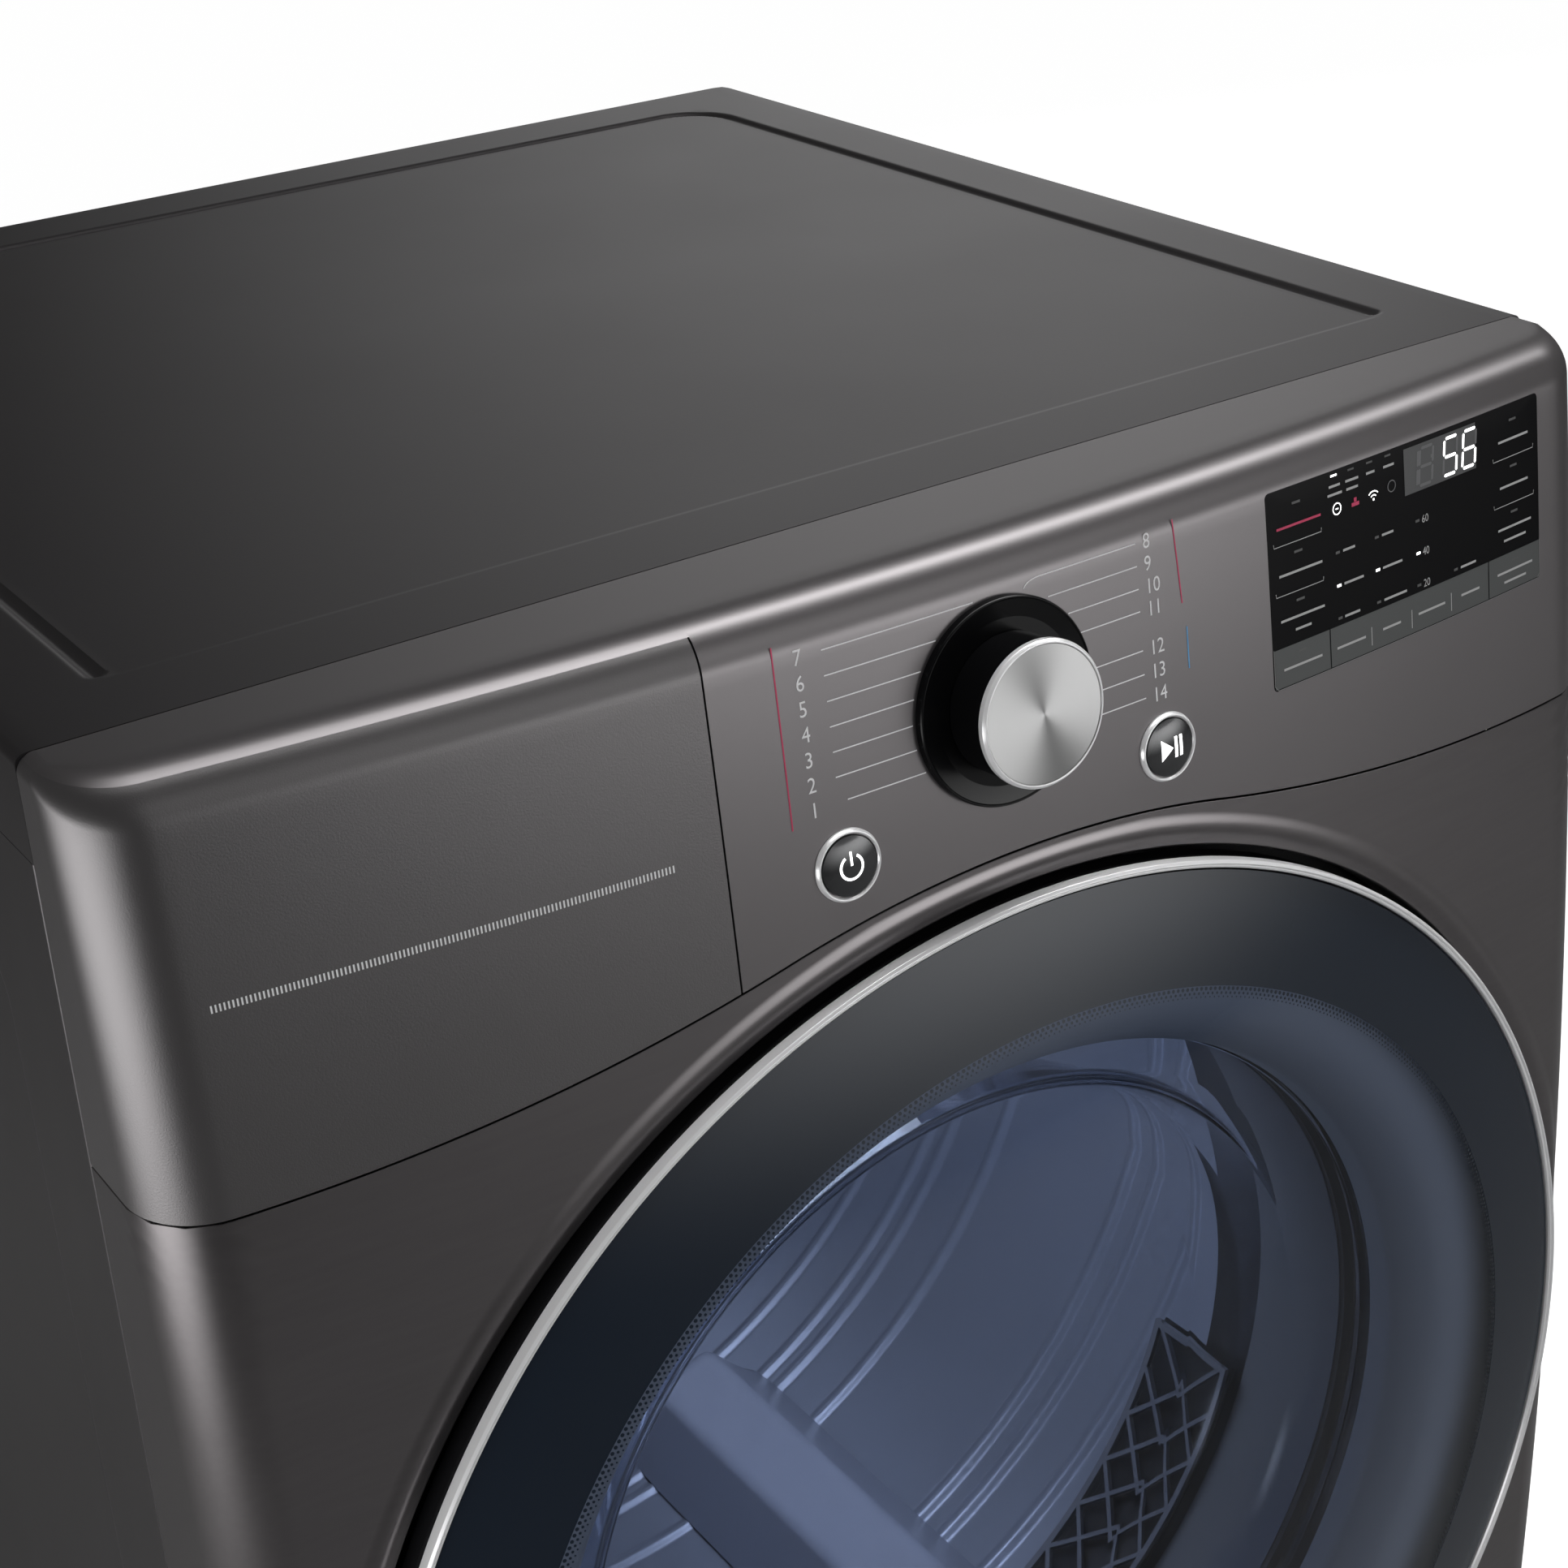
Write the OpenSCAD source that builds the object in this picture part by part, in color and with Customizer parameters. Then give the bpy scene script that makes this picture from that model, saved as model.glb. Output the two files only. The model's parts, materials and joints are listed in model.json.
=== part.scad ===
// Clothes dryer with a bowed front, a round hinged door, a belt-driven drum and a front control console.
// Millimetres, +Z up, front faces -Y, origin on the floor under the middle of the whole machine.

/* [Cabinet] */
// Width over the side panels
body_w = 686; // [660:1:720]
// Height from the floor to the top
body_h = 990; // [970:1:1060]
// Depth of the top plate, from the console joint to the back
top_depth = 635.5; // [625:0.5:700]
// How far the crown of the front stands ahead of the console joint
nose_depth = 101; // [96:1:112]
// Radius of the front's bow from side to side
bow_x_r = 2700; // [2500:50:3400]
// Radius of the front's bow from top to bottom
bow_z_r = 4500; // [4200:50:6000]
// Height where the front stands out most
bow_z0 = 390; // [370:1:420]
// Radius of the upright front corners
corner_r = 30; // [24:1:36]
// Thickness of the painted steel sheets
sheet = 1.2; // [0.8:0.1:1.6]
// Height of the cabinet's underside above the floor
foot_gap = 22; // [20:1:28]
// Running gap between moving or separate covers
seam = 1.2; // [0.8:0.1:1.6]

/* [Top plate] */
// Thickness of the top plate with its backing
top_t = 4; // [3.5:0.1:6]
// Height of the skirt round the top plate
skirt_h = 39.3; // [34:0.1:44]
// Distance of the pressed groove's middle from the centre line
groove_x = 298; // [280:1:305]
// Width of the pressed groove
groove_w = 8; // [5:0.5:10]
// Depth of the pressed groove
groove_deep = 2.2; // [1:0.1:2.8]
// Distance from the console joint to the groove's front end
groove_front = 45; // [35:1:70]

/* [Console] */
// Height of the console at its ends
console_end_h = 155; // [150:1:165]
// How far the console's lower edge arches up in the middle
arch_rise = 36.5; // [30:0.5:40]
// Radius of the arch's middle stretch
arch_mid_r = 452; // [430:1:500]
// Half width over which the lower edge arches
arch_half = 315; // [305:1:316]
// Radius of the console's top front edge
brow_r = 20; // [14:1:24]
// Wall of the console mouldings
console_t = 3; // [2.5:0.1:4]
// Place of the upright seam, left of the centre line
cover_seam_x = 124; // [112:1:135]
// Height of the knob's centre below the top
knob_drop = 59; // [56:1:62]
// Radius of the knob's gloss bezel
bezel_r = 40; // [37:1:42]
// Radius of the knob
knob_r = 28; // [25:0.5:30]
// How far the knob's face stands off the console
knob_proud = 24.5; // [20:0.5:30]
// Radius of the round buttons
button_r = 12; // [10:0.5:13]
// Width of the chrome ring round a button
button_ring_w = 2.6; // [2:0.1:4]
// Travel of a button
button_travel = 1.2; // [0.8:0.1:1.5]
// Distance of the power button from the centre line
power_x = 75; // [70:1:80]
// Distance of the start button from the centre line
start_x = 77; // [72:1:82]
// Height of the buttons' centres below the top
button_drop = 100.5; // [98:0.5:103]
// Width of the display window
display_w = 168; // [150:1:172]
// Height of the display window
display_h = 81; // [70:1:84]
// Distance of the display's middle from the centre line
display_x = 220; // [215:1:224]
// Height of the display's middle below the top
display_drop = 56; // [54:1:60]

/* [Door] */
// Height of the door's centre
door_z = 541; // [536:1:546]
// Tilt of the door's face, top leaning back
door_tilt = 1.8; // [1.5:0.1:2]
// How far the trim ring's plane lies behind the crown of the front
ring_set = 10.2; // [8:0.1:12]
// Outer radius of the chrome trim ring
ring_r = 312; // [306:1:313]
// Width of the chrome trim ring
ring_w = 3.5; // [3:0.5:5]
// Height of the glass crown ahead of the ring
crown = 38.1; // [30:0.1:42]
// Thickness of the outer glass
glass_t = 4; // [3:0.5:5]
// Gap between the trim ring and the front panel's lip
lip_gap = 7; // [7:0.5:9]
// Depth of the door's outer frame behind the ring
frame_deep = 36; // [34:1:37]
// Depth of the recess floor behind the ring
recess_deep = 50; // [49:1:52]
// Radius of the loading throat
throat_r = 222; // [219:1:226]
// Gap between the inner glass bowl and the throat
bowl_gap = 17; // [16:0.5:24]
// Depth of the inner glass bowl's back behind the ring
bowl_deep = 98; // [90:1:100]
// How far the hinge pin lies in from the trim ring's edge
hinge_in = 30; // [28:1:31]
// Distance of the hinge pin behind the ring
hinge_deep = 5.5; // [5:0.5:5.5]
// Radius of the hinge pin
hinge_pin_r = 3; // [2:0.5:3]

/* [Drum] */
// Radius of the drum
drum_r = 320; // [312:1:322]
// Height of the drum's axis
drum_z = 560; // [556:1:566]
// Distance of the drum's front edge from the crown of the front
drum_front = 149; // [147:1:152]
// Length of the drum
drum_len = 523; // [500:1:524]
// Height of a baffle above the drum wall
baffle_h = 68; // [50:1:80]
// Radius of a support roller
roller_r = 28; // [22:1:30]
// Place of the support rollers, in degrees off the bottom
roller_angle = 35; // [30:1:38]

/* [Drive and air] */
// Distance of the motor axis left of the centre line
motor_x = 120; // [118:1:126]
// Height of the motor axis
motor_z = 130; // [124:1:136]
// Radius of the motor
motor_r = 62; // [55:1:63]
// Radius of the motor pulley
pulley_r = 16; // [12:1:20]
// Radius of the idler pulley
idler_r = 22; // [18:1:26]
// Radius of the blower wheel
wheel_r = 70; // [60:1:76]
// Outer radius of the exhaust collar
exhaust_r = 50.8; // [48:0.2:52]
// Height of the exhaust collar's centre
exhaust_z = 86; // [80:1:92]
// Wall of the ducts
duct_t = 1.5; // [1:0.1:2.5]
// Width of the lint filter
filter_w = 208; // [180:1:216]
// Height of the lint filter at its middle
filter_h = 150; // [120:1:158]
// Thickness of the lint filter
filter_t = 14; // [10:1:15]

/* [Hidden] */
$fn = 96;
fn_big = 720;
fn_ring = 240;
fit = 0.3;
eps = 0.01;
meet = 0.02;

// The whole machine's depth, with the glass crown in front
lip_r = ring_r + lip_gap;
hinge_x = ring_r - hinge_in;
elbow_x = hinge_x - 26;
catch_x = ring_r - 40;
crown_r = ((ring_r - ring_w) * (ring_r - ring_w) + crown * crown) / (2 * crown);
crown_reach = crown_r - (crown_r - crown) * cos(door_tilt);
depth = top_depth + nose_depth - ring_set + crown_reach;
back_y = depth / 2;
joint_y = back_y - top_depth;
apex_y = joint_y - nose_depth;
ring_y = apex_y + ring_set;
half_w = body_w / 2;
console_z = body_h - console_end_h;
console_sweep = asin((half_w + 30) / (bow_x_r - 60));
skirt_z = body_h - skirt_h;

// The bowed front: its face, its lean back and its turn to the side at any place
function face_rho(x) = bow_z_r - bow_x_r + sqrt(bow_x_r * bow_x_r - x * x);
function face_y(x, z) = apex_y + bow_z_r - sqrt(pow(face_rho(x), 2) - pow(z - bow_z0, 2));
function face_lean(z) = asin((z - bow_z0) / bow_z_r);
function face_turn(x) = asin(x / bow_x_r);

corner_cx = half_w - corner_r;
bow_mid = bow_z_r - bow_x_r;
corner_rho = meet + bow_mid + sqrt(pow(bow_x_r - corner_r, 2) - corner_cx * corner_cx);
shell_deep = 220;

// The arch along the console's lower edge: a middle arc that meets two upturned end arcs
arch_sum = (arch_half * arch_half + arch_rise * arch_rise) / (2 * arch_rise);
arch_end_r = arch_sum - arch_mid_r;
arch_join = arch_mid_r * arch_half / arch_sum;
arch_top = console_z + arch_rise - meet;
arch_join_z = arch_top - arch_mid_r * arch_rise / arch_sum;

// The drum and what it runs on
drum_y0 = apex_y + drum_front;
drum_y1 = drum_y0 + drum_len;
drum_t = 1.2;
neck_r = drum_r - 20;
neck_len = 12;
collar_r = neck_r - 6;
bulk_y = drum_y0 - 8;
bulk_t = 2;
bulk_z0 = foot_gap + 19;
back_bulk_y = drum_y1 + 8;
bead_y = [0.09, 0.175, 0.245, 0.285, 0.485, 0.56, 0.59, 0.66];
bead_w = 9;
bead_h = 2.4;
baffle_count = 3;
baffle_angle0 = -72;
roller_w = 22;
roller_gap = 0.3;
roller_bore = 6;
roller_d = drum_r + roller_gap + roller_r;
roller_x = roller_d * sin(roller_angle);
roller_z = drum_z - roller_d * cos(roller_angle);
roller_front_y = drum_y0 + 22;
roller_rear_y = drum_y1 - 44;

// Door layers, counted back from the ring's plane
ring_front = 3;
ring_back = 6;
pin_fit = 0.05;
leaf_half = 46;
leaf_t = 2;
knuckle_half = 36;
knuckle_r = 5.5;
pin_run = 90;
arm_t = 4;
handle_from = 130;
handle_to = 230;
surround_t = 2.5;
lip_deep = 30;
throat_deep = bulk_y - ring_y;
filter_mid = throat_deep - 18;
bowl_r = throat_r - bowl_gap;

// The drive under the drum
belt_y = drum_y0 + 0.43 * drum_len;
belt_w = 10;
belt_t = 2.2;
belt_gap = 0.3;
wheel_y = bulk_y + bulk_t + 6;
wheel_len = 52;
housing_r = 92;
housing_len = 66;
shaft_r = 6;
motor_y = wheel_y + housing_len + 14;
motor_len = belt_y - motor_y - 22;
drum_to_motor = [motor_x, drum_z - motor_z];
belt_dist = norm(drum_to_motor);
belt_lean = atan2(drum_to_motor[1], drum_to_motor[0]);
strand_turn = belt_lean - acos((pulley_r - drum_r) / belt_dist);
strand_n = [cos(strand_turn), sin(strand_turn)];
idler_along = 170;
strand_start = [-motor_x, motor_z] + (pulley_r + belt_t + belt_gap) * strand_n;
strand_dir = [-strand_n[1], strand_n[0]];
idler_pos = strand_start + idler_along * strand_dir + (idler_r + 2 * belt_gap) * strand_n;
idler_pivot = [130, 120];
idler_arm_y = belt_y + 10;
idler_pin_r = 5;

// Exhaust recess, heater and water places
recess_half = 85;
recess_top = 176;
recess_in = 46;
duct_y0 = wheel_y + housing_len;
heater_x0 = 170;
heater_x1 = 270;
heater_z0 = 60;
heater_z1 = 160;
heater_y0 = -60;
heater_y1 = 300;
valve_x = -240;
valve_z = 110;
valve_in = 30;
thread_r = 13.2;
foot_x = half_w - 42;
foot_front_y = joint_y + 30;
foot_rear_y = back_y - 45;
foot_r = 20;
stem_r = 6;
terminal_z = body_h - 170;
terminal_half = 61;
cord_x = 90;
cord_r = 14.3;

// ---------- shared shapes ----------

// Plan outline of the front, swept by bow_solid: crowned face, round corners, straight sides
module bow_profile(inset) {
  face_r = bow_x_r - inset;
  touch = corner_cx * face_r / (bow_x_r - corner_r);
  rho0 = bow_z_r - shell_deep;
  intersection() {
    translate([bow_mid, 0]) circle(r = face_r, $fn = fn_big);
    translate([rho0, -touch]) square([shell_deep + 1, 2 * touch]);
  }
  for (s = [-1, 1]) translate([corner_rho, s * corner_cx]) circle(r = corner_r - inset);
  translate([rho0, inset - half_w]) square([corner_rho - rho0, body_w - 2 * inset]);
}

// The bowed front as a solid, ahead of the console joint and between two heights
module bow_solid(inset, z0, z1) {
  intersection() {
    translate([0, apex_y + bow_z_r, bow_z0]) rotate([-90, 0, -90])
      rotate([0, 0, -9]) rotate_extrude(angle = 15, $fn = fn_big) bow_profile(inset);
    translate([-half_w - 1, apex_y - 1, z0]) cube([body_w + 2, joint_y - apex_y + 1, z1 - z0]);
  }
}

// Side view of the console: bowed face and round brow, swept about an upright axis
module brow_profile(inset) {
  disc_r = bow_z_r - inset;
  brow_cz = body_h - brow_r;
  disc_x = bow_x_r - bow_z_r;
  brow_cx = meet + disc_x + sqrt(pow(bow_z_r - brow_r, 2) - pow(brow_cz - bow_z0, 2));
  touch_z = bow_z0 + (brow_cz - bow_z0) * disc_r / (bow_z_r - brow_r);
  z_low = console_z - 40;
  intersection() {
    translate([disc_x, bow_z0]) circle(r = disc_r, $fn = fn_big);
    translate([brow_cx - 200, z_low]) square([300, touch_z - z_low]);
  }
  translate([brow_cx, brow_cz]) circle(r = brow_r - inset);
  translate([brow_cx - 200, z_low]) square([200, body_h - inset - z_low]);
}

// The console's full outer or inner form
module console_form(inset) {
  intersection() {
    translate([0, apex_y + bow_x_r, 0]) rotate([0, 0, -90 - console_sweep])
      rotate_extrude(angle = 2 * console_sweep, $fn = fn_big) brow_profile(inset);
    bow_solid(inset - 0.5, console_z - 30, body_h + 1);
    translate([inset - half_w, apex_y - 1, console_z - 30])
      cube([body_w - 2 * inset, joint_y - apex_y + 1, console_end_h + 40]);
  }
}

// Everything above the arched lower edge, raised by a margin
module above_arch(margin) {
  z1 = body_h + 10;
  translate([0, joint_y + 1, margin]) rotate([90, 0, 0]) linear_extrude(nose_depth + 60) difference() {
    translate([-half_w - 1, console_z]) square([body_w + 2, z1 - console_z]);
    arch_shape();
  }
}

// The bump under the arch: a crown arc that runs into two upturned end arcs
module arch_shape() {
  difference() {
    translate([-arch_half, console_z - 1]) square([2 * arch_half, arch_join_z + 1 - console_z]);
    for (s = [-1, 1]) translate([s * arch_half, console_z - meet]) translate([0, arch_end_r])
      circle(r = arch_end_r, $fn = fn_big);
  }
  intersection() {
    translate([0, arch_top + meet]) translate([0, -arch_mid_r]) circle(r = arch_mid_r, $fn = fn_big);
    translate([-arch_half, arch_join_z - 3]) square([2 * arch_half, arch_rise]);
  }
}

// Places children on the front's face, their +Z pointing out of it
module on_face(x, z) {
  translate([x, face_y(x, z), z]) rotate([90 - face_lean(z), 0, face_turn(x)]) children();
}

// Places children in the door's own frame: +Z out of the door, +Y up it
module on_door() {
  translate([0, ring_y, door_z]) rotate([90 - door_tilt, 0, 0]) children();
}

// A turned ring of rectangular section
module ring(r_in, r_out, z0, z1) {
  translate([0, 0, z0]) difference() {
    cylinder(r = r_out, h = z1 - z0, $fn = fn_ring);
    translate([0, 0, -1]) cylinder(r = r_in, h = z1 - z0 + 2, $fn = fn_ring);
  }
}

// A ring lying square to the drum's axis
module drum_ring(r_in, r_out, y0, y1) {
  translate([0, y0, drum_z]) rotate([-90, 0, 0]) ring(r_in, r_out, 0, y1 - y0);
}

// A cylinder along +Y
module rod(x, y0, z, r, len) {
  translate([x, y0, z]) rotate([-90, 0, 0]) cylinder(r = r, h = len);
}

// A box from two corners
module block(a, b) {
  translate(a) cube(b - a);
}

// ---------- cabinet ----------

module top_plate() {
  color("dimgray") difference() {
    union() {
      block([-half_w, joint_y + fit, body_h - top_t], [half_w, back_y, body_h]);
      for (x = [-half_w, half_w - sheet])
        block([x, joint_y + fit, skirt_z], [x + sheet, back_y, body_h - 1]);
      block([-half_w, back_y - sheet, skirt_z], [half_w, back_y, body_h - 1]);
    }
    groove();
    for (s = [-1, 1]) top_corner_cut(s);
  }
}

// The pressed groove: two legs and a back run with round corners
module groove() {
  g_back = back_y - (half_w - groove_x);
  g_front = joint_y + groove_front;
  g_r = 30;
  translate([0, 0, body_h - groove_deep]) linear_extrude(groove_deep + 1) difference() {
    groove_outline(groove_x + groove_w / 2, g_front, g_back + groove_w / 2, g_r + groove_w / 2);
    groove_outline(groove_x - groove_w / 2, g_front - 1, g_back - groove_w / 2, g_r - groove_w / 2);
  }
}

module groove_outline(half, y0, y1, r) {
  translate([-half, y0]) square([2 * half, y1 - r - y0]);
  translate([r - half, y0]) square([2 * half - 2 * r, y1 - y0]);
  for (s = [-1, 1]) translate([s * (half - r), y1 - r]) circle(r = r);
}

// Rounds a back corner of the top plate
module top_corner_cut(s) {
  r = 8;
  translate([s * (half_w - r), back_y - r, skirt_z - 1]) difference() {
    translate([s > 0 ? 0 : -r - 1, 0, 0]) cube([r + 1, r + 1, skirt_h + 2]);
    translate([0, 0, -1]) cylinder(r = r, h = skirt_h + 4);
  }
}

cover_top = body_h - console_t - 0.6;

module console_frame() {
  color("#5b5a5c") difference() {
    intersection() {
      difference() {
        console_form(0);
        console_form(console_t);
      }
      above_arch(0);
    }
    block([-half_w - 1, apex_y - 1, console_z - 40],
      [-cover_seam_x + seam / 2, joint_y + 1, cover_top]);
    display_pocket(fit);
    on_face(0, body_h - knob_drop) translate([0, 0, -20]) cylinder(r = bezel_r - 4, h = 40);
    for (x = [-power_x, start_x]) on_face(x, body_h - button_drop)
      translate([0, 0, -20]) cylinder(r = button_r + button_ring_w - 1, h = 40);
  }
}

module left_cover_panel() {
  color("#4a494a") intersection() {
    difference() {
      console_form(0);
      console_form(console_t);
    }
    above_arch(0);
    block([-half_w - 1, apex_y - 1, console_z - 40],
      [-cover_seam_x - seam / 2, joint_y - fit, cover_top - fit]);
  }
}

hem_w = 16;

// The front panel's sheet, open for the door, with the collar turned in round the opening
module front_panel() {
  color("#454446") difference() {
    intersection() {
      union() {
        difference() {
          bow_solid(0, foot_gap + 2, body_h);
          bow_solid(sheet, foot_gap, body_h + 1);
        }
        intersection() {
          on_door() ring(lip_r, lip_r + sheet, -lip_deep, 40);
          bow_solid(0, foot_gap + 2, body_h);
        }
        difference() {
          bow_solid(sheet / 2, foot_gap + 2, foot_gap + 2 + sheet);
          bow_solid(hem_w, foot_gap, foot_gap + 5);
        }
      }
      below_arch();
    }
    on_door() translate([0, 0, -lip_deep - 1]) cylinder(r = lip_r, h = 100, $fn = fn_ring);
  }
}

// Everything below the console, a seam's width down from its edge
module below_arch() {
  translate([0, joint_y + 1, 0]) rotate([90, 0, 0]) linear_extrude(nose_depth + 60)
    translate([0, -seam]) union() {
      translate([-half_w - 1, 0]) square([body_w + 2, console_z]);
      arch_shape();
    }
}

field_in = 60;
field_deep = 2;

// A side sheet with a pressed field and flanges turned in at the front, back and foot
module side_panel(s) {
  z0 = foot_gap + 2;
  z1 = skirt_z - fit;
  y0 = joint_y + fit;
  y1 = back_y - sheet - fit;
  fy0 = y0 + field_in;
  fz0 = z0 + 90;
  fz1 = z1 - 60;
  mirror([s > 0 ? 0 : 1, 0, 0]) difference() {
    union() {
      block([half_w - sheet, y0, z0], [half_w, y1, z1]);
      block([half_w - sheet - field_deep, fy0 - 2, fz0 - 2], [half_w, y1 - field_in + 2, fz1 + 2]);
      block([half_w - 16, y0, z0], [half_w, y0 + sheet, z1]);
      block([half_w - 16, y1 - sheet, z0], [half_w, y1, z1]);
      block([half_w - 16, y0, z0], [half_w, y1, z0 + sheet]);
    }
    block([half_w - field_deep, fy0, fz0], [half_w + 1, y1 - field_in, fz1]);
  }
}

module left_side_panel() {
  color("#3b3a3b") side_panel(-1);
}

module right_side_panel() {
  color("#3b3a3b") side_panel(1);
}

slot_count = 9;
slot_pitch = 66;

// Back sheet with a recess for the exhaust collar, one for the water valve, and air slots
module rear_panel() {
  color("gray") difference() {
    union() {
      block([-half_w, back_y - sheet, foot_gap + 2], [half_w, back_y, skirt_z - fit]);
      recess_box(-recess_half, recess_half, foot_gap + 4, recess_top, recess_in);
      recess_box(valve_x - 40, valve_x + 40, valve_z - 40, valve_z + 40, valve_in);
    }
    block([-recess_half, back_y - recess_in, foot_gap + 4 + sheet], [recess_half, back_y + 1, recess_top]);
    block([valve_x - 40, back_y - valve_in, valve_z - 40], [valve_x + 40, back_y + 1, valve_z + 40]);
    rod(0, back_y - recess_in - 5, exhaust_z, exhaust_r + 2, 10);
    rod(valve_x, back_y - valve_in - 5, valve_z, thread_r + 1.5, 10);
    for (row = [0, 1], i = [0 : slot_count - 1])
      translate([i * slot_pitch - half_w + 60, back_y - 5, 300 + row * 60]) cube([40, 8, 8]);
    block([-terminal_half - 1, back_y - 5, terminal_z - terminal_half + 3],
      [terminal_half + 1, back_y + 1, terminal_z + terminal_half - 3]);
    rod(cord_x, back_y - 5, terminal_z - 40, cord_r, 10);
  }
}

// Walls and floor of a pocket pressed into the back
module recess_box(x0, x1, z0, z1, in) {
  block([x0 - sheet, back_y - in - sheet, z0 - sheet], [x1 + sheet, back_y, z1 + sheet]);
}

pan_lip = 17;

module base_pan() {
  z0 = foot_gap;
  color("silver") difference() {
    union() {
      block([-half_w + 2, joint_y + 4, z0], [half_w - 2, back_y - sheet - 2 * fit, z0 + 2 - fit]);
      block([-half_w + 20, joint_y + 4, z0], [half_w - 20, joint_y + 6, z0 + pan_lip]);
      for (x = [-foot_x, foot_x], y = [foot_front_y, foot_rear_y])
        translate([x, y, z0]) cylinder(r = stem_r + 8, h = 18);
      for (y = [motor_y + 14, motor_y + motor_len - 30])
        block([-motor_x - 30, y, z0], [-motor_x + 30, y + 16, motor_z - motor_r - fit]);
      block([idler_pivot[0] - 12, idler_arm_y - 30, z0],
        [idler_pivot[0] + 12, idler_arm_y - 24, idler_pivot[1] + 12]);
    }
    for (x = [-foot_x, foot_x], y = [foot_front_y, foot_rear_y])
      translate([x, y, z0 - 1]) cylinder(r = stem_r + 0.05, h = 30);
    translate([idler_pivot[0], idler_arm_y - 40, idler_pivot[1]]) rotate([-90, 0, 0])
      cylinder(r = idler_pin_r + 0.05, h = 30);
  }
}

// A levelling foot: rubber-faced pad and threaded stem
module foot(x, y) {
  translate([x, y, 0]) color("black") union() {
    cylinder(r = foot_r, h = 6);
    translate([0, 0, 6]) cylinder(r = foot_r - 4, h = 4);
    translate([0, 0, 9]) cylinder(r = 11, h = foot_gap - 9 - fit, $fn = 6);
    cylinder(r = stem_r, h = foot_gap + 30);
  }
}

module foot_front_left() {
  foot(-foot_x, foot_front_y);
}

module foot_front_right() {
  foot(foot_x, foot_front_y);
}

module foot_rear_left() {
  foot(-foot_x, foot_rear_y);
}

module foot_rear_right() {
  foot(foot_x, foot_rear_y);
}

// ---------- console parts ----------

// The slot that the display window fills in the console's face
module display_pocket(gap) {
  on_face(display_x, body_h - display_drop)
    translate([-display_w / 2 - gap, -display_h / 2 - gap, -30])
    cube([display_w + 2 * gap, display_h + 2 * gap, 60]);
}

module display_panel() {
  color("#0b0b0c") intersection() {
    difference() {
      console_form(0);
      console_form(console_t);
    }
    display_pocket(0);
  }
}

// Circuit board in its tray behind the console's face
module control_board() {
  z0 = console_z + arch_rise + 8;
  z1 = body_h - 14;
  y0 = face_y(half_w - corner_r, z0) + 24;
  color("darkgreen") union() {
    block([-cover_seam_x + 10, y0, z0], [half_w - 40, y0 + 3, z1]);
    block([-cover_seam_x + 10, y0, z0], [half_w - 40, y0 + 14, z0 + 3]);
    for (x = [0, 60, 150, 230]) block([x, y0 - 6, z0 + 12], [x + 24, y0 + 1, z0 + 40]);
    for (x = [20, 110]) block([x, y0 + 2, z0 + 20], [x + 60, y0 + 22, z0 + 70]);
    on_face(0, body_h - knob_drop) translate([0, 0, -26]) cylinder(r = 14, h = 14);
  }
}

module knob_bezel() {
  color("black") on_face(0, body_h - knob_drop) union() {
    difference() {
      union() {
        translate([0, 0, 0.6]) cylinder(r = bezel_r, h = 2.4);
        translate([0, 0, -10]) cylinder(r = bezel_r - 4.5, h = 11);
      }
      translate([0, 0, -2]) cylinder(r = knob_r + 3, h = 10);
      translate([0, 0, -11]) cylinder(r = 4, h = 20);
    }
    difference() {
      translate([0, 0, 2.9]) cylinder(r = bezel_r, h = 0.8);
      translate([0, 0, 2]) cylinder(r = bezel_r - 1, h = 3);
    }
  }
}

module knob() {
  color("silver") on_face(0, body_h - knob_drop) union() {
    translate([0, 0, 0.5]) cylinder(r = knob_r, h = knob_proud - 3.5);
    translate([0, 0, knob_proud - 3.01]) cylinder(r1 = knob_r, r2 = knob_r - 1.6, h = 2);
    translate([0, 0, knob_proud - 1.02]) cylinder(r = knob_r - 1.6, h = 1.02);
    translate([0, 0, -9]) cylinder(r = 3.95, h = 11);
  }
}

// A pressing button on the face: domed cap and guide stem
module button(x) {
  color("#303133") on_face(x, body_h - button_drop) union() {
    translate([0, 0, -3 - button_travel]) cylinder(r = button_r - 0.3, h = 5 + button_travel);
    intersection() {
      translate([0, 0, 1.9]) cylinder(r = button_r - 0.3, h = 3);
      translate([0, 0, 3.1 - 50]) sphere(r = 50, $fn = 96);
    }
    translate([0, 0, -8]) cylinder(r = 4, h = 5);
  }
}

module power_button() {
  button(-power_x);
}

module start_button() {
  button(start_x);
}

module button_rings() {
  color("silver") for (x = [-power_x, start_x]) on_face(x, body_h - button_drop) difference() {
    union() {
      translate([0, 0, 0.3]) cylinder(r = button_r + button_ring_w, h = 2);
      translate([0, 0, -7]) cylinder(r = button_r + button_ring_w - 1.3, h = 8);
    }
    translate([0, 0, -8]) cylinder(r = button_r, h = 12);
  }
}

// ---------- door surround and bulkheads ----------

recess_z = -recess_deep;
surround_r = lip_r + sheet + 0.6;

// Black moulding between the front panel's lip and the drum: recess wall, floor and loading throat
module door_surround() {
  color("#1a1a1b") on_door() difference() {
    union() {
      ring(surround_r, surround_r + surround_t, recess_z - surround_t, -24);
      ring(throat_r, surround_r + surround_t, recess_z - surround_t, recess_z);
      ring(throat_r, throat_r + surround_t, -throat_deep - 2, recess_z);
      for (a = [45 : 90 : 315]) rotate([0, 0, a])
        translate([ring_r - 42, 0, -throat_deep + 8]) cylinder(r = 8, h = throat_deep - 8 - recess_deep);
    }
    latch_slot();
    filter_slot(2);
  }
}

module latch_slot() {
  translate([-catch_x, -16, recess_z - 10]) cube([28, 32, 20]);
}

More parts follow.
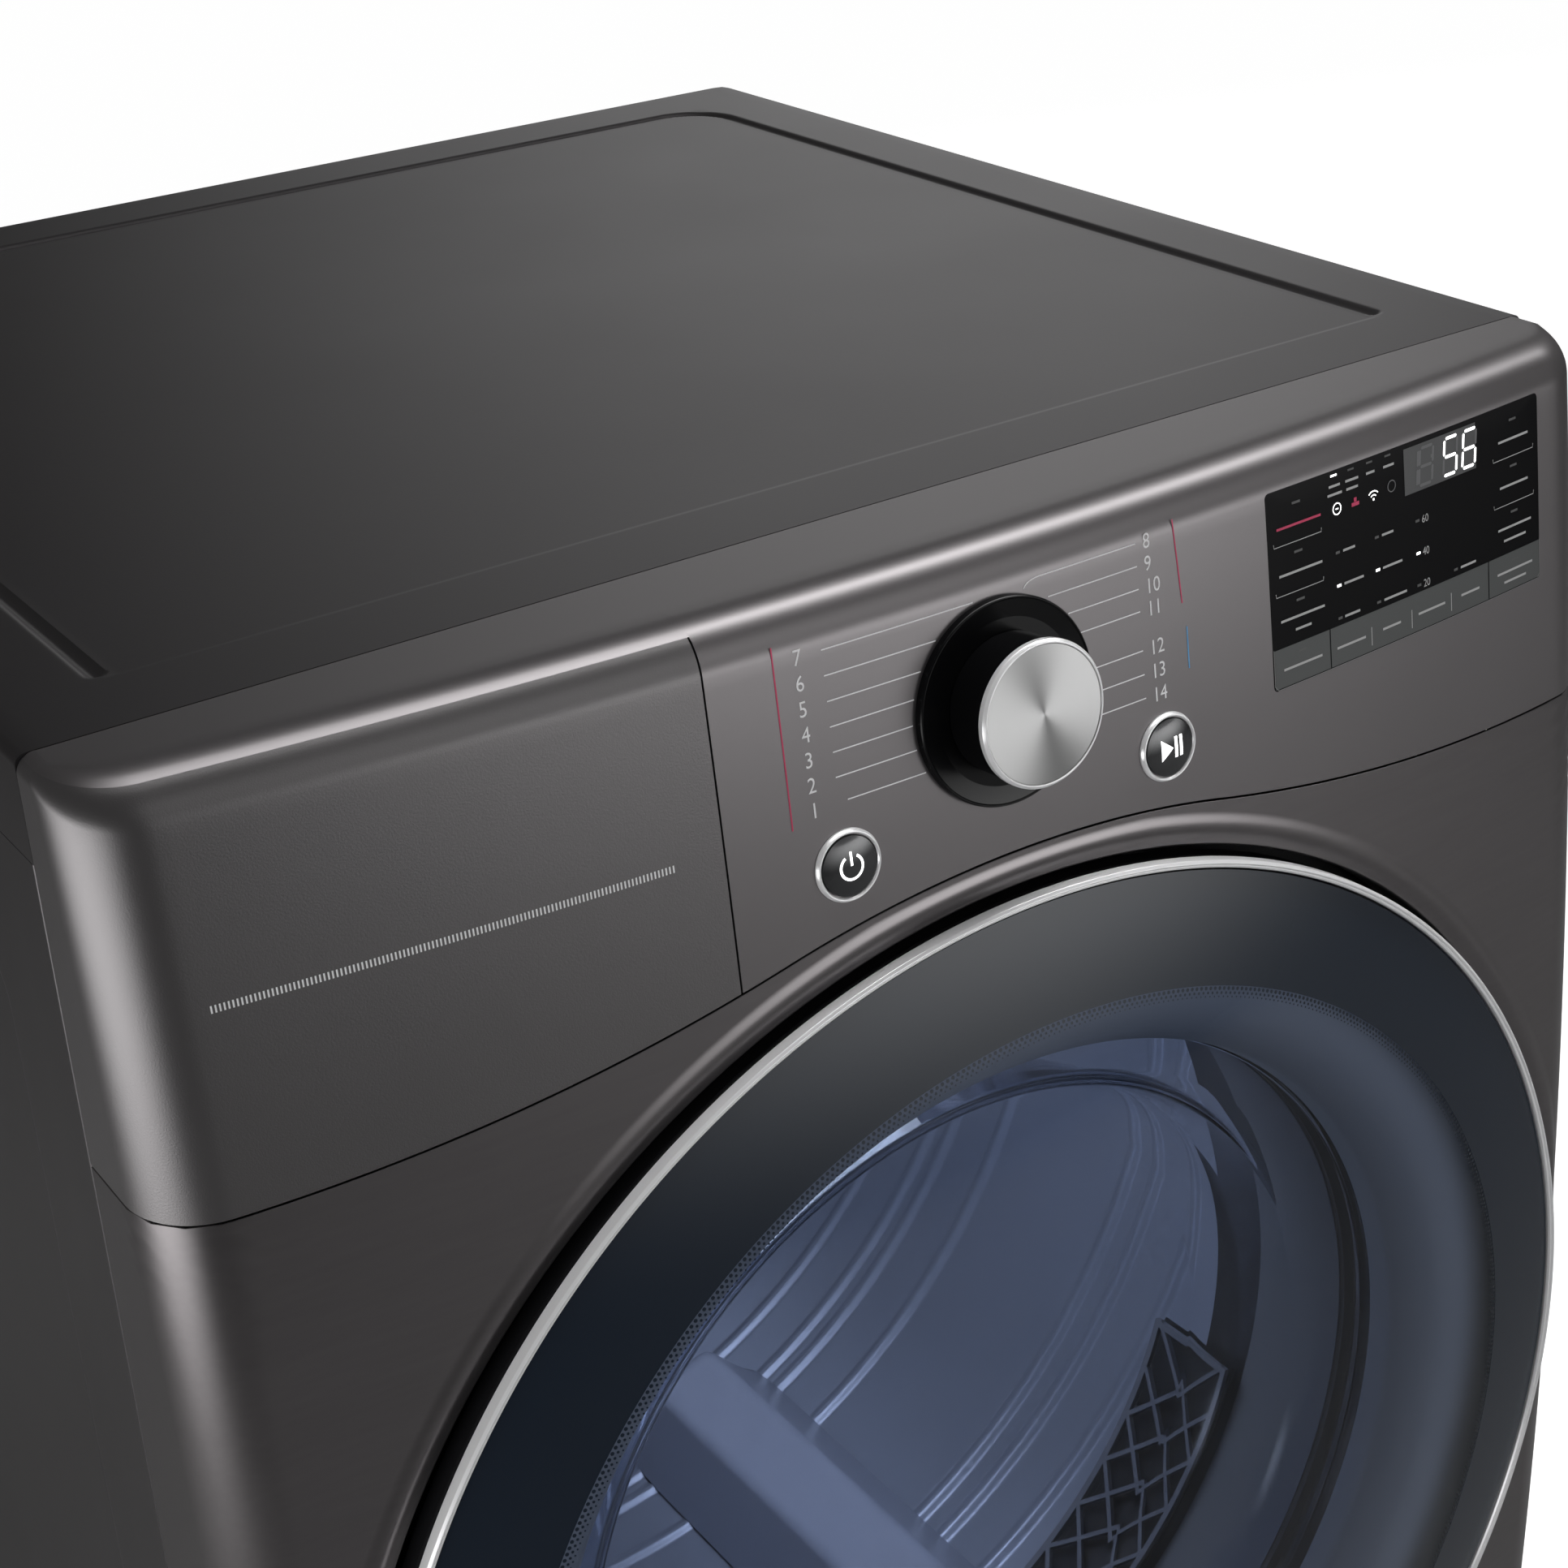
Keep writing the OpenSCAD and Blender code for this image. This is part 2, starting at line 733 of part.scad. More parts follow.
// The mouth in the throat's floor that the lint filter drops through
module filter_slot(gap) {
  translate([-filter_w / 2 - gap, -throat_r - 40, -filter_mid - filter_t / 2 - gap])
    cube([filter_w + 2 * gap, 140, filter_t + 2 * gap]);
}

module front_bulkhead() {
  x1 = half_w - sheet - 2;
  color("silver") difference() {
    union() {
      block([-x1, bulk_y, bulk_z0], [x1, bulk_y + bulk_t, skirt_z - 30]);
      drum_ring(collar_r - 2, collar_r, bulk_y, drum_y0 + 14);
      for (s = [-1, 1])
        rod(s * roller_x, bulk_y, roller_z, roller_bore - pin_fit, roller_front_y + roller_w - bulk_y);
    }
    on_door() translate([0, 0, -throat_deep - 40])
      cylinder(r = throat_r + surround_t + 1.5, h = 120, $fn = fn_ring);
    rod(-motor_x, bulk_y - 5, motor_z, motor_r - 6, 12);
  }
}

module drum_light() {
  color("white") on_door() translate([0, throat_r - 2.8, -filter_mid]) rotate([-90, 0, 0]) intersection() {
    cylinder(r = 14, h = 2);
    translate([-30, -30, 0]) cube([60, 60, 2]);
  }
}

module door_latch() {
  color("#2a2a2a") on_door() difference() {
    translate([-catch_x - 4, -20, recess_z - surround_t - 26]) cube([36, 40, 26 - fit]);
    translate([-catch_x + 1, -14, recess_z - surround_t - 22]) cube([26, 28, 30]);
  }
}

module moisture_sensor() {
  color("silver") on_door() for (y = [-8, 8]) rotate([0, 0, -90 - 40 + y])
    translate([throat_r - 2, -3, -throat_deep + 10]) cube([1.8, 6, 60]);
}

grille_from = -162;
grille_to = -18;
grille_t = 3;
grille_r = 212;
grille_cells = 15;

// Curved lattice over the way to the lint filter, at the foot of the throat
module outlet_grille() {
  color("#1d1d1f") on_door() difference() {
    union() {
      arc_band(grille_r, grille_r + grille_t, -throat_deep - 62, -throat_deep - 4, grille_from, grille_to);
      arc_band(grille_r, throat_r - 1, -throat_deep - 10, -throat_deep - 4, grille_from, grille_to);
    }
    for (row = [0, 1], i = [0 : grille_cells - 1]) {
      a = grille_from + (i + 0.75 + row * 0.5) * (grille_to - grille_from) / (grille_cells + 1);
      rotate([0, 0, a]) translate([grille_r, 0, -throat_deep - 22 - row * 24])
        rotate([0, 90, 0]) cylinder(r = 12.5, h = 30, center = true, $fn = 4);
    }
  }
}

// Part of a tube between two angles
module arc_band(r_in, r_out, z0, z1, a0, a1) {
  rotate([0, 0, a0]) rotate_extrude(angle = a1 - a0, $fn = fn_ring) translate([r_in, z0])
    square([r_out - r_in, z1 - z0]);
}

vent_pitch = 22;
vent_r = 7;

// Back bulkhead with its drum collar and the grid of hot-air holes
module rear_bulkhead() {
  x1 = half_w - sheet - 2;
  color("silver") difference() {
    union() {
      block([-x1, back_bulk_y, bulk_z0], [x1, back_bulk_y + bulk_t, skirt_z - 30]);
      drum_ring(collar_r - 2, collar_r, drum_y1 - 14, back_bulk_y + bulk_t);
      for (s = [-1, 1])
        rod(s * roller_x, roller_rear_y, roller_z, roller_bore - pin_fit, back_bulk_y - roller_rear_y);
    }
    for (i = [-3 : 3], j = [-4 : 4])
      rod(180 + i * vent_pitch, back_bulk_y - 5, drum_z + j * vent_pitch, vent_r, 12);
    rod(0, back_bulk_y - 5, exhaust_z, exhaust_r + 4, 12);
    block([valve_x - 44, back_bulk_y - 5, valve_z - 44], [valve_x + 44, back_bulk_y + 8, valve_z + 44]);
    block([heater_x0 - 3, back_bulk_y - 5, heater_z0 - 3], [heater_x1 + 3, back_bulk_y + 8, heater_z1 + 3]);
    block([-recess_half - 3, back_bulk_y - 5, 0], [recess_half + 3, back_bulk_y + 8, recess_top + 4]);
  }
}

// ---------- door ----------

module door_trim_ring() {
  r1 = ring_r;
  r0 = ring_r - ring_w;
  color("silver") on_door() rotate_extrude($fn = fn_ring)
    polygon([[r0, -ring_back], [r1, -ring_back], [r1, ring_front - 1.8], [r1 - 1.2, ring_front],
      [r0 + 0.9, ring_front - 0.6], [r0, ring_front - 1.6]]);
}

glass_r = ring_r - ring_w - fit;

module door_glass() {
  zc = crown - crown_r;
  color("#20242c", 0.6) on_door() rotate_extrude($fn = fn_ring) intersection() {
    difference() {
      translate([0, zc]) circle(r = crown_r, $fn = fn_big);
      translate([0, zc]) circle(r = crown_r - glass_t, $fn = fn_big);
    }
    translate([0, -glass_t - 2]) square([glass_r, crown + glass_t + 4]);
  }
}

flange_z = -ring_back - 1;
shelf_r = ring_r - 34;
shelf_t = 2;

// Outer half of the door: shelf behind the glass, tapering side wall, rear ledge
module door_outer_frame() {
  r_out = ring_r - 1;
  r_back = ring_r - 12;
  wall = 3;
  color("#121213") on_door() difference() {
    rotate_extrude($fn = fn_ring) union() {
      translate([shelf_r, flange_z - shelf_t]) square([r_out - shelf_r, shelf_t + 0.7]);
      polygon([[r_out - wall, flange_z - 1], [r_out, flange_z - 1], [r_out, -14], [r_back, -frame_deep],
        [r_back - wall, -frame_deep], [r_out - wall, -14]]);
      translate([bowl_r + 18, -frame_deep]) square([r_back - bowl_r - 18, wall]);
    }
    hinge_pocket(0);
    translate([hinge_x - 12, -leaf_half - 2, flange_z - 3]) cube([44, 2 * leaf_half + 4, 4]);
    rotate([0, 0, handle_from]) rotate_extrude(angle = handle_to - handle_from, $fn = fn_ring)
      translate([r_back - 6, -frame_deep - 1]) square([30, frame_deep - 15]);
  }
  color("#121213") on_door() rotate([0, 0, handle_from - 1])
    rotate_extrude(angle = handle_to - handle_from + 2, $fn = fn_ring) union() {
      translate([r_back - 10, -frame_deep]) square([wall, frame_deep - 15]);
      translate([r_back - 10, -17]) square([r_out - r_back + 7.5, 2]);
    }
}

// The space that the hinge arm sweeps through inside the door
module hinge_pocket(gap) {
  translate([hinge_x - 44 - gap, -leaf_half - gap, -recess_deep - 5])
    cube([90, 2 * (leaf_half + gap), recess_deep + 5 + flange_z - shelf_t]);
}

inner_z = -frame_deep - fit;
gasket_z = recess_z + 0.3;

// Inner half of the door: ledge for the bowl, and the pan that closes the frame
module door_inner_frame() {
  color("#161617") on_door() difference() {
    rotate_extrude($fn = fn_ring) union() {
      translate([bowl_r + 1, inner_z - 3]) square([ring_r - 16 - bowl_r, 3]);
      translate([bowl_r + 1, inner_z - 8]) square([20, 8]);
      translate([bowl_r + 1, inner_z - 8]) square([3, 8 + 22]);
    }
    hinge_pocket(0);
    latch_cut();
    rotate([0, 0, handle_from]) rotate_extrude(angle = handle_to - handle_from, $fn = fn_ring)
      translate([ring_r - 22, inner_z - 4]) square([20, 6]);
  }
}

module latch_cut() {
  translate([-catch_x + 2, -12, inner_z - 9]) cube([20, 24, 6]);
}

bowl_t = 5;
bowl_round = 22;

// Points of an arc from straight out to straight down, for the bowl's lower corner
function bowl_arc(xc, zc, r, from, to) =
  [for (i = [0 : 8]) let (a = from + (to - from) * i / 8) [xc + r * cos(a), zc + r * sin(a)]];

// Inner glass: a deep dish that keeps the load in the drum
module door_bowl() {
  neck = bowl_r - 8;
  base = bowl_r - 20;
  z0 = inner_z + 8;
  xc = base - bowl_round;
  zc = bowl_round - bowl_deep;
  color("#2b3038", 0.5) on_door() rotate_extrude($fn = fn_ring) polygon(concat(
    [[0, bowl_t - bowl_deep], [0, -bowl_deep]],
    bowl_arc(xc, zc, bowl_round, -90, 0),
    [[neck, z0], [bowl_r, z0], [bowl_r, z0 + bowl_t], [neck - bowl_t, z0 + bowl_t]],
    bowl_arc(xc, zc, bowl_round - bowl_t, 0, -90)));
}

module door_gasket() {
  color("#0f0f0f") on_door() ring(throat_r + 6, throat_r + 14, gasket_z, inner_z - 3 - fit);
}

// Steel leaf fixed behind the glass, with two ears on the pin
module door_hinge_leaf() {
  color("silver") on_door() difference() {
    union() {
      translate([hinge_x - 32, 1 - leaf_half, flange_z - shelf_t - fit - leaf_t])
        cube([36, 2 * leaf_half - 2, leaf_t]);
      for (y = [-42, 39]) translate([hinge_x - 8, y, -hinge_deep - 8])
        cube([14, 3, 8 + hinge_pin_r + 1.2]);
    }
    translate([hinge_x, -60, -hinge_deep]) rotate([-90, 0, 0]) cylinder(r = hinge_pin_r, h = 120);
    translate([hinge_x - 12, -knuckle_half - 1, -hinge_deep - 9]) cube([24, 2 * knuckle_half + 2, 18]);
  }
}

module hinge_pin() {
  color("gray") on_door() translate([hinge_x, -pin_run / 2, -hinge_deep]) rotate([-90, 0, 0])
    cylinder(r = hinge_pin_r, h = pin_run);
}

// Fixed goose-neck bracket: base on the recess floor, arm and knuckle
module hinge_bracket() {
  elbow = [elbow_x, -32];
  color("silver") on_door() difference() {
    union() {
      translate([elbow_x - 15, -leaf_half + 2, recess_z]) cube([26, 2 * leaf_half - 4, 2.5]);
      translate([elbow[0] - arm_t, -knuckle_half, recess_z])
        cube([arm_t, 2 * knuckle_half, recess_deep + elbow[1]]);
      translate([0, knuckle_half, 0]) rotate([90, 0, 0]) linear_extrude(2 * knuckle_half) union() {
        polygon([[elbow[0] - arm_t, elbow[1] - 4], [elbow[0], elbow[1] - 4], [hinge_x, -hinge_deep - 5],
          [hinge_x, -hinge_deep + 1], [elbow[0] - arm_t, elbow[1] + 1]]);
        translate([hinge_x, -hinge_deep]) circle(r = knuckle_r - 0.5);
      }
    }
    translate([hinge_x, -60, -hinge_deep]) rotate([-90, 0, 0])
      cylinder(r = hinge_pin_r + pin_fit, h = 120);
  }
}

// Hook that the latch holds
module door_striker() {
  color("silver") on_door() union() {
    translate([-catch_x + 3, -11, inner_z - 8.7]) cube([18, 22, 2.5]);
    translate([-catch_x + 10, -8, recess_z - 18]) cube([4, 16, recess_deep + 18 + inner_z - 7]);
    translate([-catch_x + 6, -8, recess_z - 18]) cube([8, 16, 4]);
  }
}

module door_screws() {
  color("gray") on_door() for (a = [20 : 40 : 340]) rotate([0, 0, a])
    translate([bowl_r + 60, 0, inner_z - 5.5]) difference() {
      cylinder(r = 4.5, h = 2.5 - eps);
      translate([0, 0, -1]) cylinder(r = 2, h = 2.2, $fn = 6);
    }
}

// ---------- lint filter and its duct ----------

mesh_t = 0.6;

// Pull-out screen: frame, cross bars, thin mesh, curved top edge with a grip
module lint_filter() {
  y_top = -throat_r + 0.5;
  y_low = -throat_r - filter_h;
  half = filter_w / 2;
  color("#26262a") on_door() difference() {
    translate([-half, y_low, -filter_mid - filter_t / 2]) cube([filter_w, filter_h + 46, filter_t]);
    translate([0, 0, -filter_mid - filter_t]) cylinder(r = throat_r - 0.5, h = 2 * filter_t, $fn = fn_ring);
    for (i = [-1, 0, 1], dz = [mesh_t, -filter_t])
      translate([i * (filter_w / 3 - 2) - filter_w / 6 + 6, y_low + 8, dz - filter_mid])
      cube([filter_w / 3 - 12, filter_h - 34, filter_t]);
    translate([-40, y_top - 14, -filter_mid + 2]) cube([80, 9, filter_t]);
  }
}

// Housing under the throat that takes the filter and leads down to the blower
module lint_duct() {
  gap = 1.5;
  half = filter_w / 2 + gap;
  t = duct_t;
  z_back = -filter_mid - filter_t / 2 - gap;
  inner = filter_t + 2 * gap;
  y_low = -throat_r - filter_h - gap;
  y_foot = -door_z + foot_gap + 24;
  color("#8f9296") on_door() difference() {
    union() {
      translate([-half - t, y_low - t, z_back - t]) cube([2 * half + 2 * t, filter_h + 28, inner + 2 * t]);
      translate([-motor_x - 62, y_foot, z_back - t])
        cube([motor_x + 62 + half, y_low - y_foot + 2, inner + 2 * t]);
    }
    translate([-half, y_low, z_back]) cube([2 * half, filter_h + 100, inner]);
    translate([8 - half, y_low - 8, z_back]) cube([2 * half - 16, 20, inner]);
    translate([-motor_x - 60, y_foot + t, z_back])
      cube([motor_x + 58 + half, y_low - y_foot - 2 * t, inner]);
    translate([0, 0, -throat_deep - 40]) cylinder(r = throat_r + surround_t + fit, h = 200, $fn = fn_ring);
    translate([-motor_x, motor_z - door_z - 3, -throat_deep - 10])
      cylinder(r = 52, h = throat_deep - filter_mid + 4);
  }
}

// ---------- drum ----------

module drum_shell() {
  color("#b9bcc2") difference() {
    union() {
      drum_ring(drum_r - drum_t, drum_r, drum_y0, drum_y1);
      for (y = [drum_y0, drum_y1 - drum_t]) drum_ring(neck_r, drum_r, y, y + drum_t);
      drum_ring(neck_r, neck_r + drum_t, drum_y0, drum_y0 + neck_len);
      drum_ring(neck_r, neck_r + drum_t, drum_y1 - neck_len, drum_y1);
      for (b = bead_y)
        drum_ring(drum_r - drum_t - bead_h, drum_r - drum_t / 2, bead_at(b), bead_at(b) + bead_w);
    }
    for (b = bead_y)
      drum_ring(drum_r - bead_h, drum_r + 1, bead_at(b) + drum_t, bead_at(b) + bead_w - drum_t);
  }
}

function bead_at(b) = drum_y0 + b * drum_len;

baffle_y0 = drum_y0 + 30;
baffle_y1 = drum_y0 + 0.62 * drum_len;
baffle_foot = 96;
baffle_ridge = 40;

// Lifting baffles: sloped sides, blunt ridge, hollow underneath
module drum_baffles() {
  color("#8d929b") translate([0, 0, drum_z]) for (i = [0 : baffle_count - 1])
    rotate([0, baffle_angle0 < 0 ? -baffle_angle0 + 90 - i * 360 / baffle_count : 0, 0]) baffle();
}

module baffle() {
  r0 = drum_r - drum_t - bead_h - fit;
  seat = sqrt(r0 * r0 - baffle_foot * baffle_foot / 4);
  top = drum_r - baffle_h;
  t = 3;
  difference() {
    translate([0, baffle_y1, 0]) rotate([90, 0, 0]) linear_extrude(baffle_y1 - baffle_y0)
      baffle_outline(seat, top, 0);
    translate([0, baffle_y1 - 3, 0]) rotate([90, 0, 0]) linear_extrude(baffle_y1 - baffle_y0 - 6)
      baffle_outline(seat + 1, top, t);
    for (s = [0, 1]) translate([0, s > 0 ? baffle_y1 : baffle_y0, top]) rotate([s > 0 ? 45 : -45, 0, 0])
      translate([-60, -20, -34]) cube([120, 40, 40]);
  }
}

// Section of a baffle, feet towards the drum wall, ridge towards the axis
module baffle_outline(seat, top, inset) {
  foot = baffle_foot / 2 - inset;
  ridge = baffle_ridge / 2 - inset * 0.6;
  polygon([[-foot, seat], [-ridge - 8, top + 22], [-ridge, top + inset], [ridge, top + inset],
    [ridge + 8, top + 22], [foot, seat]]);
}

module drum_felt_seals() {
  color("#d8d2c4") for (y = [drum_y0 + 2, drum_y1 - 10]) drum_ring(collar_r, neck_r - fit, y, y + 8);
}

module roller(x, y) {
  color("#3a3a3c") translate([x, y, roller_z]) rotate([-90, 0, 0]) difference() {
    union() {
      cylinder(r = roller_r - 4, h = roller_w);
      translate([0, 0, 2]) cylinder(r = roller_r, h = roller_w - 4);
    }
    translate([0, 0, -1]) cylinder(r = roller_bore, h = roller_w + 2);
    for (z = [-1, roller_w - 4]) translate([0, 0, z]) ring(11, 20, 0, 5);
  }
}

module roller_front_left() {
  roller(-roller_x, roller_front_y);
}

module roller_front_right() {
  roller(roller_x, roller_front_y);
}

module roller_rear_left() {
  roller(-roller_x, roller_rear_y);
}

module roller_rear_right() {
  roller(roller_x, roller_rear_y);
}

// ---------- drive ----------

// Flat belt round the drum and the motor pulley
module drive_belt() {
  color("#222222") translate([0, belt_y - belt_w / 2, 0]) rotate([90, 0, 0]) mirror([0, 0, 1])
    linear_extrude(belt_w) difference() {
      belt_loop(belt_gap + belt_t);
      belt_loop(belt_gap);
    }
}

module belt_loop(grow) {
  hull() {
    translate([0, drum_z]) circle(r = drum_r + grow, $fn = 180);
    translate([-motor_x, motor_z]) circle(r = pulley_r + grow, $fn = 48);
  }
}

module motor() {
  color("#9a9da1") difference() {
    union() {
      rod(-motor_x, motor_y, motor_z, motor_r, motor_len);
      rod(-motor_x, motor_y - 6, motor_z, 24, motor_len + 12);
    }
    rod(-motor_x, motor_y - 20, motor_z, shaft_r + 0.05, motor_len + 60);
    for (a = [0 : 30 : 330]) translate([-motor_x, motor_y - 1, motor_z]) rotate([0, a, 0])
      translate([34, 0, -4]) cube([16, motor_len + 2, 8]);
  }
}

// Shaft with the belt pulley
module motor_rotor() {
  color("silver") union() {
    rod(-motor_x, wheel_y + 4, motor_z, shaft_r, belt_y + 14 - wheel_y);
    rod(-motor_x, belt_y - 8, motor_z, pulley_r, 16);
    for (y = [belt_y - 10, belt_y + 7]) rod(-motor_x, y, motor_z, pulley_r + 5, 3);
  }
}

blade_count = 24;

module blower_wheel() {
  color("#55585c") translate([-motor_x, wheel_y + 4, motor_z]) rotate([-90, 0, 0]) difference() {
    union() {
      translate([0, 0, wheel_len - 14]) cylinder(r = wheel_r, h = 3);
      ring(wheel_r - 12, wheel_r, 0, 3);
      translate([0, 0, wheel_len - 34]) cylinder(r = 16, h = 22);
      for (i = [0 : blade_count - 1]) rotate([0, 0, i * 360 / blade_count])
        translate([wheel_r - 11.5, -1, 1]) cube([10, 2, wheel_len - 14]);
    }
    translate([0, 0, -5]) cylinder(r = shaft_r, h = wheel_len + 10);
  }
}

// Scroll housing with a tangential outlet to the exhaust duct
module blower_housing() {
  t = 2;
  y0 = wheel_y;
  y1 = wheel_y + housing_len;
  x1 = exhaust_r + 8;
  z0 = foot_gap + 8;
  z1 = exhaust_z + exhaust_r + 2;
  color("#6c7074") difference() {
    union() {
      rod(-motor_x, y0, motor_z, housing_r, housing_len);
      block([-motor_x, y0, z0], [x1, y1, z1]);
    }
    rod(-motor_x, y0 + t, motor_z, housing_r - t, housing_len - 2 * t);
    block([-motor_x, y0 + t, z0 + t], [x1 - t, y1 - t, z1 - t]);
    rod(-motor_x, y0 - 5, motor_z, 54, 12);
    rod(-motor_x, y1 - 5, motor_z, shaft_r + 2, 12);
    rod(0, y1 - 5, exhaust_z, exhaust_r - duct_t, 12);
  }
}

collar_len = 44;

// Duct to the back, ending in the collar that a vent hose fits over
module exhaust_duct() {
  len = back_y - duct_y0;
  color("silver") difference() {
    union() {
      rod(0, duct_y0, exhaust_z, exhaust_r, len);
      rod(0, duct_y0, exhaust_z, exhaust_r + 1, len - collar_len);
    }
    rod(0, duct_y0 - 1, exhaust_z, exhaust_r - duct_t, len + 2);
  }
}

tail_len = 30;
tail_r = 8;
arm_dx = idler_pos[0] - idler_pivot[0];
arm_dz = idler_pos[1] - idler_pivot[1];
arm_len = norm([arm_dx, arm_dz]);
tail_x = idler_pivot[0] - tail_len * arm_dx / arm_len;
tail_z = idler_pivot[1] - tail_len * arm_dz / arm_len;

// Sprung arm that carries the idler pulley; its tail takes the spring
module idler_arm() {
  turn = atan2(arm_dz, arm_dx);
  color("silver") union() {
    difference() {
      translate([idler_pivot[0], idler_arm_y, idler_pivot[1]]) rotate([0, -turn, 0]) union() {
        translate([-tail_len, 0, -tail_r]) cube([arm_len + tail_len, 4, 2 * tail_r]);
        for (x = [0, arm_len]) translate([x, 0, 0]) rotate([-90, 0, 0]) cylinder(r = 11, h = 4);
        translate([-tail_len, 0, 0]) rotate([-90, 0, 0]) cylinder(r = tail_r, h = 4);
      }
      rod(tail_x, idler_arm_y - 1, tail_z, 2, 8);
    }
    rod(idler_pivot[0], idler_arm_y - 32, idler_pivot[1], idler_pin_r, 33);
    rod(idler_pos[0], idler_arm_y - 18, idler_pos[1], idler_pin_r - 0.05, 19);
  }
}

module idler_pulley() {
  color("#2c2c2e") translate([idler_pos[0], belt_y - 7, idler_pos[1]]) rotate([-90, 0, 0]) difference() {
    union() {
      cylinder(r = idler_r, h = 14);
      for (z = [0, 12.5]) translate([0, 0, z]) cylinder(r = idler_r + 0.2, h = 1.5);
    }
    translate([0, 0, -1]) cylinder(r = idler_pin_r, h = 16);
  }
}

spring_foot = foot_gap + 6;

// Tension spring from the arm's tail to the base, as its outer form
module idler_spring() {
  color("gray") translate([tail_x, idler_arm_y + 2, spring_foot]) difference() {
    cylinder(r = 6, h = tail_z - tail_r - fit - spring_foot);
    translate([0, 0, -1]) cylinder(r = 4, h = tail_z);
  }
}

// ---------- heat, water and mains ----------

module heater_housing() {
  t = 1;
  color("#a9acae") difference() {
    block([heater_x0, heater_y0, heater_z0], [heater_x1, heater_y1, heater_z1]);
    block([heater_x0 + t, heater_y0 - 1, heater_z0 + t], [heater_x1 - t, heater_y1 + 1, heater_z1 - t]);
  }
  color("#a9acae") for (y = [heater_y0 + 20, heater_y1 - 40])
    block([heater_x0 + 30, y, foot_gap + 2], [heater_x1 - 30, y + 20, heater_z0]);
}

coil_rings = 7;

// Heating element: frame rails with rings of wire between them
module heater_coil() {
  xc = (heater_x0 + heater_x1) / 2;
  zc = (heater_z0 + heater_z1) / 2;
  y0 = heater_y0 + 30;
  y1 = heater_y1 - 60;
  color("#8b6b4a") union() {
    for (s = [-1, 1]) {
      block([xc + s * 40 - 2, y0, heater_z0 + 1 + fit], [xc + s * 40 + 2, y1, heater_z0 + 12]);
      block([xc + s * 38 - 1, y0, heater_z0 + 10], [xc + s * 38 + 1, y1, zc]);
    }
    for (i = [0 : coil_rings - 1]) translate([xc, heater_y0 + 40 + i * 36, zc]) rotate([-90, 0, 0])
      rotate_extrude($fn = 60) translate([38, 0]) circle(r = 3, $fn = 16);
  }
}

// Riser that turns the hot air up to the bulkhead's grid of holes
module rear_air_duct() {
  t = duct_t;
  y0 = back_bulk_y + bulk_t + fit;
  y1 = back_y - sheet - 4;
  z1 = drum_z + 4 * vent_pitch + 30;
  x0 = 180 - 3 * vent_pitch - 20;
  x1 = 180 + 3 * vent_pitch + 20;
  color("#a9acae") difference() {
    union() {
      block([x0, y0, heater_z0 - 10], [x1, y1, z1]);
      block([heater_x0 - t - fit, heater_y1 + 2, heater_z0 - t - fit],
        [heater_x1 + t + fit, y0 + 3, heater_z1 + t + fit]);
    }
    block([x0 + t, y0 - 1, heater_z1 + 60], [x1 - t, y1 - t, z1 - t]);
    block([x0 + t, y0 + t, heater_z0 - 10 + t], [x1 - t, y1 - t, z1 - t]);
    block([heater_x0 - fit, heater_y1, heater_z0 - fit], [heater_x1 + fit, y0 + 20, heater_z1 + fit]);
  }
}

// Inlet valve for the steam function: threaded nipple, body and coil
module water_valve() {
  y1 = back_y - valve_in - sheet - fit;
  color("#5f7f9f") difference() {
    union() {
      rod(valve_x, y1 - 1, valve_z, thread_r, back_y - y1 - 1);
      block([valve_x - 16, y1 - 14, valve_z - 18], [valve_x + 16, y1, valve_z + 18]);
      block([valve_x - 12, y1 - 12, valve_z + 16], [valve_x + 12, y1 - 2, valve_z + 34]);
    }
    rod(valve_x, y1 - 8, valve_z, 8, 60);
  }
}

// Mains terminal block behind its cover plate
module terminal_block() {
  color("#c9b68a") union() {
    block([-terminal_half, back_y - sheet, terminal_z - terminal_half + 4],
      [terminal_half, back_y - 0.2, terminal_z + terminal_half - 4]);
    block([-30, back_y - 30, terminal_z - 20], [30, back_y - sheet + eps, terminal_z + 20]);
    for (x = [-20, 0, 20]) rod(x, back_y - 36, terminal_z, 4, 8);
  }
}

top_plate();
console_frame();
left_cover_panel();
front_panel();
left_side_panel();
right_side_panel();
rear_panel();
base_pan();
foot_front_left();
foot_front_right();
foot_rear_left();
foot_rear_right();
display_panel();
control_board();
knob_bezel();
knob();
power_button();
start_button();
button_rings();
door_surround();
front_bulkhead();
drum_light();
door_latch();
moisture_sensor();
hinge_bracket();
door_trim_ring();
door_glass();
door_outer_frame();
door_inner_frame();
door_bowl();
door_gasket();
door_hinge_leaf();
hinge_pin();
door_striker();
door_screws();
lint_filter();
lint_duct();
outlet_grille();
drum_shell();
drum_baffles();
drum_felt_seals();
roller_front_left();
roller_front_right();
roller_rear_left();
roller_rear_right();
rear_bulkhead();
drive_belt();
motor();
motor_rotor();
blower_wheel();
blower_housing();
exhaust_duct();
idler_arm();
idler_pulley();
idler_spring();
heater_housing();
heater_coil();
rear_air_duct();
water_valve();
terminal_block();
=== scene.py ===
import json
import math
import bmesh
import bpy
import numpy as np
from mathutils import Matrix, Vector


